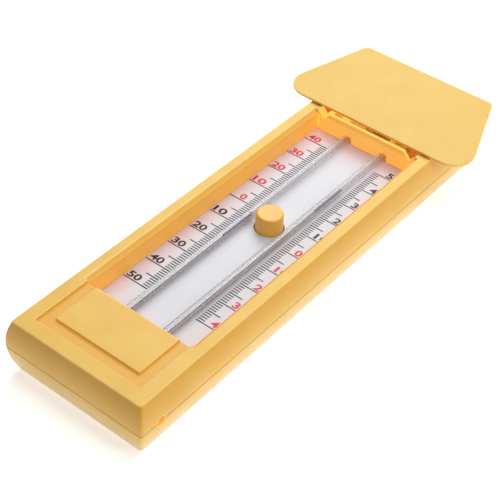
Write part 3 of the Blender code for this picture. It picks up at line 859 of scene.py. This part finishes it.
@dataclass(frozen=True)
class PlainSolid(Finish):
    """A moulded, rolled, foamed or drawn material whose look is a colour, a grain and a gloss."""

    name: str
    colour: str
    second_colour: str
    roughness: float
    grain: float
    grain_height: float
    metallic: float = 0.0
    ior: float = 1.5
    stretch: Triple = (1.0, 1.0, 1.0)

    def shade(self, tree: Tree) -> Socket:
        """Build two-tone grain with matching bump and roughness.

        Args:
            tree: The material's node tree.

        Returns:
            The shader's output.
        """
        where = add(tree, "ShaderNodeTexCoord").outputs["Object"]
        scale = 1.0 / (self.grain * MM)
        sized = add(tree, "ShaderNodeMapping", {"Vector": where, "Scale": [scale / s for s in self.stretch]})
        grain = add(tree, "ShaderNodeTexNoise", {"Vector": sized.outputs["Vector"], "Scale": 1.0,
                                                 "Detail": 3.0})
        colour = add(tree, "ShaderNodeMix", {"Factor": grain.outputs["Fac"], "A": linear(self.colour),
                                             "B": linear(self.second_colour)}, data_type="RGBA")
        bump = add(tree, "ShaderNodeBump", {"Height": grain.outputs["Fac"], "Strength": 0.6,
                                            "Distance": self.grain_height * MM})
        rough = add(tree, "ShaderNodeMapRange", {"Value": grain.outputs["Fac"],
                                                 "To Min": self.roughness - 0.05,
                                                 "To Max": self.roughness + 0.05})
        settings = {"Base Color": colour.outputs[2], "Roughness": rough.outputs["Result"],
                    "Metallic": self.metallic, "Normal": bump.outputs["Normal"]}
        if not self.metallic:
            settings["IOR"] = self.ior
        return add(tree, "ShaderNodeBsdfPrincipled", settings).outputs["BSDF"]


@dataclass(frozen=True)
class TintedSleeve(Finish):
    """Thin blue glass sleeve round an index's wire: see-through, so the wire shows as a dark core."""

    name: str = "Soda glass, tinted blue"
    colour: str = "A8ACDC"

    def shade(self, tree: Tree) -> Socket:
        """Build tinted glass that is cloudier in places.

        Args:
            tree: The material's node tree.

        Returns:
            The shader's output.
        """
        where = add(tree, "ShaderNodeTexCoord").outputs["Object"]
        cloud = add(tree, "ShaderNodeTexNoise", {"Vector": where, "Scale": 1.0 / (2.0 * MM)})
        rough = add(tree, "ShaderNodeMapRange", {"Value": cloud.outputs["Fac"], "To Min": 0.10,
                                                 "To Max": 0.30})
        return add(tree, "ShaderNodeBsdfPrincipled", {"Base Color": linear(self.colour), "IOR": 1.3,
                                                      "Roughness": rough.outputs["Result"], "Alpha": 0.55}
                   ).outputs["BSDF"]


# Satin yellow, with painted shade in its hollows and a painted glow.
CASE_ABS = CaseAbs("ABS moulded, case")
# The mould's rounded edges: glossier, and paler as a painted highlight, so they draw a fine light line.
EDGE_HIGHLIGHT_ABS = CaseAbs("ABS moulded, polished edges", colour="F4CC6C", shade_colour="F0C662", roughness=0.36,
                   pocket_colour="FABC52")
# A cloth-like sheen from ribs too fine to count, bumped and with painted shade in their valleys.
HOOD_ABS = RibbedAbs("ABS moulded, ribbed hood", colour="EBC560", shade_colour="E8C058")
# Plainer and paler than the ribbed top: the paler colour is a painted highlight on the rounded edges.
HOOD_EDGE_ABS = MouldedAbs("ABS moulded, hood edges", colour="F2CA64", shade_colour="EEC45C")
# Thin tongues: painted shade deepens them to orange, and a painted glow stands in for light from behind.
LATCH_ABS = MouldedAbs("ABS moulded, hood latches", colour="E8820E", shade_colour="E47A0A",
                       glow_colour="FF7A04", glow=0.12)
# Smoother than the case, with a painted glow that stands in for light through it.
BUTTON_ABS = MouldedAbs("ABS moulded, button", colour="DCAC44", shade_colour="D8A43C", glow=0.16,
                        roughness=0.36, grain_height=0.012)
STYRENE = PrintedStyrene()
# Dull black and red that sit on the card as a thin film.
BLACK_INK = ScreenInk("Screen ink, black", "120E10", "2A2224")
RED_INK = ScreenInk("Screen ink, red", "CC1230", "E03450")
GLASS = LeadGlass()
SPIRIT = ClearSpirit()
SLEEVE = TintedSleeve()
# Liquid metal thread: bright and even, greyer where it wets the bore.
THREAD = PlainSolid("Thread metal, liquid", "D2D2D4", "C2C3C6", 0.38, 3.0, 0.002, metallic=0.5)
# Blued iron wire: dark blue with drawn lines along it.
WIRE = PlainSolid("Iron wire, blued", "1C2254", "12163A", 0.4, 0.3, 0.01, metallic=0.3,
                  stretch=(1.0, 12.0, 1.0))
# Acetal carriers: smooth mid grey with faint flow marks.
ACETAL = PlainSolid("Acetal moulded, grey", "8E9094", "7E8084", 0.42, 2.5, 0.01, ior=1.48)
# Rubber-bonded ferrite: matt near-black with a powdery grain.
FERRITE = PlainSolid("Ferrite rubber, extruded", "1E1D1D", "2B2A29", 0.78, 0.5, 0.03, ior=1.52,
                     stretch=(1.0, 4.0, 1.0))
# Zinc plating: bright grey with a slightly crystalline haze.
ZINC = PlainSolid("Steel, zinc plated", "C4C6C8", "A8ABB0", 0.32, 0.8, 0.01, metallic=1.0)
# Music wire: darker, drawn smooth.
SPRING_STEEL = PlainSolid("Spring steel wire, drawn", "8C8A86", "72706E", 0.30, 0.6, 0.008, metallic=1.0)
# Open polyurethane foam: warm grey cells about 0.6 mm across.
FOAM = PlainSolid("Polyurethane foam, open cell", "B8B2A6", "8C867C", 0.92, 0.6, 0.30, ior=1.4)


# ---------------------------------------------------------------- sub-assemblies

class Side(Enum):
    """The two sides of the case and of its card, seen from the front."""

    LEFT = -1
    RIGHT = 1


@dataclass
class Case:
    """The two shells of the case, with softened moulded edges. Sizes in mm, turns in degrees."""

    face_z: float = 26.5
    groove_z: float = 24.1
    groove_lift: float = 1.2
    mouth_in: float = 26.3
    mouth_out: float = 28.7
    mouth_deep: float = 2.2
    mouth_near_y: float = -81.0
    mouth_far_y: float = 71.2
    mouth_clear: float = 0.05
    edge_from_z: float = 22.0
    edge_round: float = 0.35
    edge_turn: float = 30.0
    front_smooth: float = 25.0
    foot_round: float = 0.5
    foot_turn: float = 38.0

    def build(self) -> None:
        """Make both shells."""
        self.front()
        self.back()

    def front(self) -> None:
        """Lift the groove's floor, slope the window's mouth and soften the edges of the face."""
        shell = Workpiece.from_node("front_shell", "front_case").coated(CASE_ABS, EDGE_HIGHLIGHT_ABS)
        shell.pick(Kind.FACE, lambda place, facing: facing.z > SQUARE
                   and abs(place.z - self.groove_z * MM) < ON_PLANE)
        bpy.ops.transform.translate(value=(0.0, 0.0, self.groove_lift * MM))
        for side in Side:
            shell.cut(self.mouth_wedge(side))
        shell.round_corners(self.edge_turn, self.edge_round, lambda place: place.z > self.edge_from_z * MM)
        shell.smoothed(self.front_smooth).dressed("case", "yellow_abs", replaces=["front_case"])

    def mouth_wedge(self, side: Side) -> Workpiece:
        """Shape the cutter that slopes one long edge of the window's mouth.

        Args:
            side: The side of the window.

        Returns:
            The cutter, which is deep at the window and runs out at the face.
        """
        inner, outer = sorted((side.value * self.mouth_in * MM, side.value * self.mouth_out * MM))
        low = Vector((inner, self.mouth_near_y * MM, (self.face_z - self.mouth_deep) * MM))
        wedge = block("mouth_wedge", low, Vector((outer, self.mouth_far_y * MM, (self.face_z + 1.0) * MM)))
        wedge.pick(Kind.VERT, lambda place, facing: place.z < self.face_z * MM
                   and abs(place.x) > self.mouth_out * MM - ON_PLANE)
        bpy.ops.transform.translate(value=(0.0, 0.0, (self.mouth_deep + self.mouth_clear) * MM))
        deselect_all()
        return wedge

    def back(self) -> None:
        """Soften the foot of the back shell."""
        shell = Workpiece.from_node("back_shell", "back_case").coated(CASE_ABS, EDGE_HIGHLIGHT_ABS)
        shell.round_corners(self.foot_turn, self.foot_round, lambda place: place.z < ON_PLANE)
        shell.smoothed().dressed("case", "yellow_abs", replaces=["back_case"])


@dataclass
class Hood:
    """The folding rain hood: a ribbed plate with rounded edges. Sizes in mm, the turn in degrees."""

    top_least: float = 0.7
    plate_z: float = 26.7
    latch_y: float = 85.0
    edge_round: float = 0.4
    edge_turn: float = 60.0

    def build(self) -> None:
        """Give the edges and the latches their own finish and round the plate's edges."""
        hood = Workpiece.from_node("hood_plate", "rain_hood").coated(HOOD_ABS, HOOD_EDGE_ABS, LATCH_ABS)
        hood.pick(Kind.FACE, lambda place, facing: facing.z < self.top_least)
        hood.finish_picked(1)
        hood.pick(Kind.FACE, lambda place, facing: place.z < self.plate_z * MM
                  and place.y < self.latch_y * MM)
        hood.finish_picked(2)
        hood.round_corners(self.edge_turn, self.edge_round, lambda place: place.z > self.plate_z * MM)
        hood.smoothed().dressed("hood", "yellow_abs", replaces=["rain_hood"])


@dataclass
class PrintedScale:
    """Lines and numbers printed on both sides of the card. Sizes in mm, numbers in reading order."""

    first_y: float = 62.1
    step_y: float = 13.72
    lines: int = 10
    line_w: float = 0.56
    centre_x: float = -0.6
    inner: float = 13.0
    minor: float = 3.4
    mid: float = 6.7
    major: float = 12.9
    digit_h: float = 3.8
    digit_w: float = 6.5
    one_digit: float = 0.46
    digit_out: float = 18.8
    digit_gap: float = 0.7
    weight: float = 0.03
    ink: float = 0.02
    left: Sequence[int] = (-40, -30, -20, -10, 0, 10, 20, 30, 40, 50)
    right: Sequence[int] = (50, 40, 30, 20, 10, 0, -10, -20, -30, -40)

    def build(self) -> None:
        """Print both sides: red up to freezing point, black above it."""
        self.print_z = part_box("scale_card")[1].z + self.ink * MM
        STYRENE.paint("scale_card")
        for side, readings in ((Side.LEFT, self.left), (Side.RIGHT, self.right)):
            label = side.name.lower()
            self.graduations(side, label + "_lines")
            for name, ink, frost in (("_frost_numbers", RED_INK, True), ("_warm_numbers", BLACK_INK, False)):
                made = [self.number(side, i, abs(n)) for i, n in enumerate(readings) if (n <= 0) is frost]
                join(label + name, made).dressed("case", "", ink)

    def row(self, name: str, side: Side, length: float, first: float, pitch: float,
            count: int) -> Workpiece:
        """Print one line and repeat it down the card.

        Args:
            name: The row's name.
            side: The side of the card.
            length: The length of a line, in mm.
            first: The place of the first line along the card, in mm.
            pitch: The distance between lines, in mm.
            count: How many lines there are.

        Returns:
            The row.
        """
        reach = self.inner + length / 2.0
        place = Vector(((self.centre_x + side.value * reach) * MM, first * MM, self.print_z))
        line = Workpiece.added(name, bpy.ops.mesh.primitive_plane_add, (length * MM, self.line_w * MM, 1.0),
                               size=1.0, location=place)
        line.modify("ARRAY", count=count, use_relative_offset=False, use_constant_offset=True,
                    constant_offset_displace=(0.0, -pitch * MM, 0.0))
        return line.modify("SOLIDIFY", thickness=self.ink * MM, offset=1.0)

    def graduations(self, side: Side, name: str) -> None:
        """Print the lines for every 10, 5 and 1 degrees on one side.

        Args:
            side: The side of the card.
            name: The name of the joined lines.
        """
        gaps = self.lines - 1
        tens = self.row(name, side, self.major, self.first_y, self.step_y, self.lines)
        fives = self.row("fives", side, self.mid, self.first_y - self.step_y / 2.0, self.step_y, gaps)
        ones = self.row("ones", side, self.minor, self.first_y, self.step_y / 10.0, gaps * 10 + 1)
        join(name, [tens, fives, ones]).dressed("case", "", BLACK_INK)

    def number(self, side: Side, index: int, value: int) -> Workpiece:
        """Set one number in type, make it a mesh and put it above its line.

        Args:
            side: The side of the card.
            index: The line that it stands on, counted from the far end.
            value: The number.

        Returns:
            The number's mesh.
        """
        deselect_all()
        bpy.ops.object.text_add()
        text = bpy.context.object
        text.data.body = str(value)
        text.data.extrude = self.ink * MM / 2.0
        text.data.offset = self.weight
        text.data.size = 1.0
        bpy.ops.object.convert(target="MESH")
        piece = Workpiece(bpy.context.object)
        corners = [v.co for v in piece.obj.data.vertices]
        low, high = (Vector([pick(c[i] for c in corners) for i in range(3)]) for pick in (min, max))
        single = len(str(value)) == 1
        width = self.digit_w * self.one_digit if single else self.digit_w
        start = self.digit_out if side is Side.RIGHT else -self.digit_out - self.digit_w
        start += self.centre_x + (self.digit_w - width if single and side is Side.LEFT else 0.0)
        scale_x, scale_y = width * MM / (high.x - low.x), self.digit_h * MM / (high.y - low.y)
        foot = self.first_y - self.step_y * index + self.digit_gap
        piece.obj.scale = (scale_x, scale_y, 1.0)
        piece.obj.location = (start * MM - low.x * scale_x, foot * MM - low.y * scale_y,
                              self.print_z + self.ink * MM / 2.0)
        return piece.settled()


@dataclass
class Glass:
    """The U tube, its thread, both bulbs and both indices. Sizes in mm, falls in tens of degrees."""

    tube_x: float = 9.8
    tube_r: float = 2.0
    bore_r: float = 0.8
    thread_r: float = 0.62
    ten_degrees: float = 13.7
    left_fall: float = 5.9
    right_fall: float = 3.1
    bend_y: float = -91.0
    bend_steps: int = 32
    top_y: float = 80.5
    sides: int = 48
    bulb_y: float = 78.5
    bulb_t: float = 0.7
    bulb_clear: float = 0.25
    shoulder_y: float = 1.5
    shoulder_l: float = 4.5
    minimum_bulb: Pair = (6.5, 24.0)
    maximum_bulb: Pair = (4.8, 19.0)
    index_r: float = 0.66
    index_l: float = 20.0
    wire_r: float = 0.30
    wire_inset: float = 0.7

    def build(self) -> None:
        """Make all the glass and what it holds."""
        self.z = box_centre("glass_tube").z
        tube = self.u_bar("u_tube", self.tube_r, self.top_y, self.top_y, False)
        tube.modify("SOLIDIFY", thickness=(self.tube_r - self.bore_r) * MM, offset=-1.0, use_rim=True)
        tube.smoothed().dressed("case", "clear_glass", GLASS, replaces=["glass_tube"])
        top = PrintedScale.first_y
        thread = self.u_bar("metal_thread", self.thread_r, top - self.left_fall * self.ten_degrees,
                            top - self.right_fall * self.ten_degrees, True)
        thread.smoothed().dressed("case", "thread_liquid", THREAD, replaces=["thread_column"])
        self.bulb("minimum_bulb", -self.tube_x, self.minimum_bulb, "bulb_min")
        self.bulb("maximum_bulb", self.tube_x, self.maximum_bulb, "bulb_max")
        SPIRIT.paint("bulb_fill_min", "bulb_fill_max")
        self.index("minimum", "minimum_index", "index_min")
        self.index("maximum", "maximum_index", "index_max")

    def u_bar(self, name: str, radius: float, left_y: float, right_y: float, closed: bool) -> Workpiece:
        """Draw a round bar or shell down one limb, round the bend and up the other.

        Args:
            name: The new object's name.
            radius: The bar's radius, in mm.
            left_y: The end of the left limb, in mm.
            right_y: The end of the right limb, in mm.
            closed: Whether the ends are closed.

        Returns:
            The bent bar.
        """
        down, up = ((0.0, (self.bend_y - right_y) * MM, 0.0), (0.0, (left_y - self.bend_y) * MM, 0.0))
        bar = Workpiece.added(name, bpy.ops.mesh.primitive_circle_add, vertices=self.sides,
                              radius=radius * MM, fill_type="NGON" if closed else "NOTHING",
                              location=(self.tube_x * MM, right_y * MM, self.z),
                              rotation=(math.pi / 2.0, 0.0, 0.0))
        bar.pick(Kind.FACE if closed else Kind.EDGE, everything)
        bpy.ops.mesh.extrude_region_move(TRANSFORM_OT_translate={"value": down})
        bpy.ops.mesh.spin(steps=self.bend_steps, angle=math.pi, center=(0.0, self.bend_y * MM, self.z),
                          axis=(0.0, 0.0, -1.0))
        bpy.ops.mesh.extrude_region_move(TRANSFORM_OT_translate={"value": up})
        return bar.welded()

    def bulb(self, name: str, x: float, size: Pair, node: str) -> None:
        """Turn one hollow bulb with an open neck.

        Args:
            name: The new object's name.
            x: The place of its limb, in mm.
            size: Its radius and length, in mm.
            node: The CAD node that it stands for.
        """
        radius, length = size
        neck = self.tube_r + self.bulb_clear
        outer = self.bulb_line(neck + self.bulb_t, radius, length, 0.0)
        inner = self.bulb_line(neck, radius - self.bulb_t, length, self.bulb_t)
        ring = outer + list(reversed(inner)) + outer[:1]
        shape = turned(name, ring, Vector((x * MM, self.bulb_y * MM, self.z)), Axis.Y)
        shape.smoothed().dressed("case", "clear_glass", GLASS, replaces=[node])

    def bulb_line(self, neck: float, radius: float, length: float, inset: float) -> list[Pair]:
        """Draw one wall of a bulb from its neck over its shoulder to the middle of its tip.

        Args:
            neck: The wall's radius at the neck, in mm.
            radius: The wall's full radius, in mm.
            length: The length of the whole bulb, in mm.
            inset: How far the wall lies inside the outer one, in mm.

        Returns:
            Pairs of radius and height, in mm.
        """
        points = [(neck, 0.0)]
        for step in range(9):
            angle = math.radians(11.25 * step)
            points.append((neck + (radius - neck) * math.sin(angle),
                           self.shoulder_y + inset + self.shoulder_l * (1.0 - math.cos(angle))))
        tip = length - radius - inset
        for step in range(13):
            angle = math.radians(7.5 * step)
            points.append((radius * math.cos(angle), tip + radius * math.sin(angle)))
        points[-1] = (0.0, points[-1][1])
        return points

    def index(self, label: str, body: str, node: str) -> None:
        """Turn one index: a dark wire in a rounded blue sleeve.

        Args:
            label: What the names of its pieces start with.
            body: The CAD body that it moves with.
            node: The CAD node that it stands for.
        """
        centre = box_centre(node)
        centre.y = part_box(node)[0].y
        sleeve = turned(label + "_sleeve", self.rod_line(self.index_r, self.index_l), centre, Axis.Y, 32)
        sleeve.smoothed().dressed(body, "blue_index", SLEEVE, replaces=[node])
        centre.y += self.wire_inset * MM
        line = self.rod_line(self.wire_r, self.index_l - 2.0 * self.wire_inset)
        turned(label + "_wire", line, centre, Axis.Y, 20).smoothed().dressed(body, "blue_index", WIRE)

    @staticmethod
    def rod_line(radius: float, length: float) -> list[Pair]:
        """Draw the profile of a rod with round ends.

        Args:
            radius: The rod's radius, in mm.
            length: The rod's length, in mm.

        Returns:
            Pairs of radius and height, in mm.
        """
        angles = [math.radians(15.0 * i) for i in range(7)]
        near = [(radius * math.sin(a), radius * (1.0 - math.cos(a))) for a in angles]
        return near + [(r, length - h) for r, h in reversed(near)]


@dataclass
class ResetButton:
    """The push button and what it carries. Sizes in mm."""

    top_r: float = 5.9
    base_r: float = 6.25
    stem_r: float = 2.2
    stem_slope: float = 0.4
    skirt_gap: float = 0.3
    dish: float = 0.35
    round_r: float = 1.0

    def build(self) -> None:
        """Turn the button and finish what it carries."""
        low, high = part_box("push_button")
        centre = box_centre("push_button")
        centre.z = 0.0
        top, foot = high.z / MM, low.z / MM
        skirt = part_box("magnet_carrier")[1].z / MM + self.skirt_gap
        flat_r = self.top_r - self.round_r
        crown = [(flat_r + self.round_r * math.cos(math.radians(a)),
                  top - self.round_r + self.round_r * math.sin(math.radians(a))) for a in range(0, 91, 15)]
        dish = [(flat_r * (1.0 - i / 6.0), top - self.dish * math.sin(math.radians(15.0 * i)))
                for i in range(1, 7)]
        dish[-1] = (0.0, dish[-1][1])
        stem = [(0.0, foot), (self.stem_r - self.stem_slope, foot), (self.stem_r, foot + self.stem_slope),
                (self.stem_r, skirt), (self.base_r, skirt)]
        profile = stem + crown + dish
        button = turned("reset_button", profile, centre, Axis.Z, 96)
        button.smoothed(40.0).dressed("reset", "yellow_abs", BUTTON_ABS, replaces=["push_button"])
        ACETAL.paint("magnet_carrier")
        FERRITE.paint("magnet_min", "magnet_max")
        SPRING_STEEL.paint("button_ring", "return_spring")


@dataclass
class Inside:
    """The carrier plate, the bend clip and the foam behind the bulbs. Sizes in mm."""

    foam_round: float = 1.2
    foam_fill: float = 0.9

    def build(self) -> None:
        """Finish the hidden parts that hold the glass."""
        ACETAL.paint("carrier_plate")
        EDGE_HIGHLIGHT_ABS.paint("bend_clip")
        low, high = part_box("bulb_cushion")
        foam = block("foam_cushion", low, high)
        foam.pick(Kind.EDGE, everything)
        bpy.ops.mesh.bevel(offset=self.foam_round * MM, segments=4, affect="EDGES")
        foam.smoothed().dressed("case", "grey_foam", FOAM, replaces=["bulb_cushion"])


@dataclass
class Screws:
    """Four pan-head tapping screws in the back, heads down. Sizes in mm."""

    head_r: float = 2.9
    shank_r: float = 1.15
    root_r: float = 0.85
    neck_z: float = 4.7
    thread_from: float = 5.4
    thread_to: float = 17.6
    thread_half: float = 0.45
    pitch: float = 1.1
    point_z: float = 20.0
    recess_z: float = 2.85
    recess_deep: float = 0.85
    recess_l: float = 1.5
    recess_w: float = 0.36
    nodes: Sequence[str] = ("case_screw_1", "case_screw_2", "case_screw_3", "case_screw_4")

    def build(self) -> None:
        """Turn one screw, cut its cross recess and copy it to the other places."""
        places = []
        for node in self.nodes:
            places.append(box_centre(node))
            places[-1].z = 0.0
        screw = turned("screw_1", self.profile(), places[0], Axis.Z, 32)
        for across in ((self.recess_l, self.recess_w), (self.recess_w, self.recess_l)):
            middle = places[0] + Vector((0.0, 0.0, self.recess_z * MM))
            half = Vector((*across, self.recess_deep)) * MM
            screw.cut(block("recess", middle - half, middle + half))
        copies = [screw.copied("screw_%d" % (i + 2), place - places[0]) for i, place in enumerate(places[1:])]
        for piece, node in zip([screw] + copies, self.nodes):
            piece.smoothed(30.0).dressed("case", "zinc_steel", ZINC, replaces=[node])

    def profile(self) -> list[Pair]:
        """Draw a screw from the middle of its head, at the back, to its point.

        Returns:
            Pairs of radius and height, in mm.
        """
        head = [(0.0, 2.7), (1.2, 2.75), (2.1, 2.95), (2.65, 3.35), (self.head_r, 3.9), (self.head_r, 4.55),
                (2.8, self.neck_z), (self.root_r, self.neck_z)]
        thread = []
        height = self.thread_from
        while height < self.thread_to:
            thread += [(self.root_r, height), (self.shank_r, height + self.thread_half),
                       (self.root_r, height + 2.0 * self.thread_half)]
            height += self.pitch
        return head + thread + [(0.4, self.point_z - 0.4), (0.0, self.point_z)]


# ---------------------------------------------------------------- floor, light and camera

@dataclass(frozen=True)
class StudioFloor(Finish):
    """Matt white backdrop paper, which glows a little, as on a shadowless table lit from below."""

    name: str = "Backdrop paper, white"
    colour: str = "FFFFFF"
    glow: float = 0.5

    def shade(self, tree: Tree) -> Socket:
        """Build matt white with a faint fibre.

        Args:
            tree: The material's node tree.

        Returns:
            The shader's output.
        """
        where = add(tree, "ShaderNodeTexCoord").outputs["Object"]
        fibre = add(tree, "ShaderNodeTexNoise", {"Vector": where, "Scale": 1.0 / (2.0 * MM)})
        colour = add(tree, "ShaderNodeMix", {"Factor": fibre.outputs["Fac"], "A": linear(self.colour),
                                             "B": linear("FCFCFC")}, data_type="RGBA")
        return add(tree, "ShaderNodeBsdfPrincipled",
                   {"Base Color": colour.outputs[2], "Roughness": 0.9, "Specular IOR Level": 0.2,
                    "Emission Color": linear("FFFFFF"), "Emission Strength": self.glow}).outputs["BSDF"]


@dataclass(frozen=True)
class Softbox:
    """One square area light. Lengths in metres, power in watts."""

    name: str
    at: Triple
    size: float
    power: float
    colour: str = "FFFFFF"

    def hang(self, target: Vector) -> None:
        """Hang the light and aim it.

        Args:
            target: The place that it is aimed at.
        """
        lamp = bpy.data.lights.new(self.name, "AREA")
        lamp.size, lamp.energy, lamp.color = self.size, self.power, linear(self.colour)[:3]
        holder = bpy.data.objects.new(self.name, lamp)
        holder.location = self.at
        holder.rotation_euler = (Vector(self.at) - target).to_track_quat("Z", "Y").to_euler()
        bpy.context.scene.collection.objects.link(holder)


@dataclass
class Studio:
    """A pale floor, soft light and the camera. Lengths in metres, turns in degrees, lens and film in mm."""

    softboxes: Sequence[Softbox] = field(default_factory=lambda: (
        Softbox("overhead", (0.05, 0.30, 0.95), 0.9, 6.7),
        Softbox("far window", (-0.42, 0.60, 0.63), 0.6, 4.0),
        Softbox("side window", (0.80, 0.05, 0.62), 0.30, 2.0),
    ))
    target: Triple = (0.0, 0.0, 0.02)
    air: float = 0.16
    floor_size: float = 6.0
    floor_at: Triple = (0.0, 0.0, -0.2 * MM)
    camera_at: Triple = (0.24196, -0.33859, 0.37888)
    camera_turn: Triple = (47.837, -2.405, 38.675)
    lens: float = 93.09
    film: float = 36.0
    nearest: float = 0.01

    def build(self) -> None:
        """Lay the floor, hang the lights and set the camera."""
        floor = Workpiece.added("floor", bpy.ops.mesh.primitive_plane_add, size=self.floor_size,
                                location=self.floor_at).coated(StudioFloor())
        for box in self.softboxes:
            box.hang(Vector(self.target))
        world = bpy.data.worlds.new("studio")
        world.use_nodes = True
        air = world.node_tree.nodes["Background"]
        air.inputs["Color"].default_value = linear("FFFFFF")
        air.inputs["Strength"].default_value = self.air
        bpy.context.scene.world = world
        bpy.context.scene.view_settings.view_transform = "Standard"
        self.camera()

    def camera(self) -> None:
        """Place the camera."""
        lens = bpy.data.cameras.new("camera")
        lens.lens, lens.sensor_width, lens.clip_start = self.lens, self.film, self.nearest
        holder = bpy.data.objects.new("camera", lens)
        holder.location = self.camera_at
        holder.rotation_euler = [math.radians(angle) for angle in self.camera_turn]
        bpy.context.scene.collection.objects.link(holder)
        bpy.context.scene.camera = holder


def main() -> None:
    """Build every sub-assembly in order, then the studio."""
    logging.basicConfig(level=logging.INFO, format="%(message)s")
    for part in (Case(), Hood(), PrintedScale(), Glass(), ResetButton(), Inside(), Screws(), Studio()):
        LOG.info("-- %s", type(part).__name__)
        part.build()
    deselect_all()


if __name__ == "__main__":
    main()
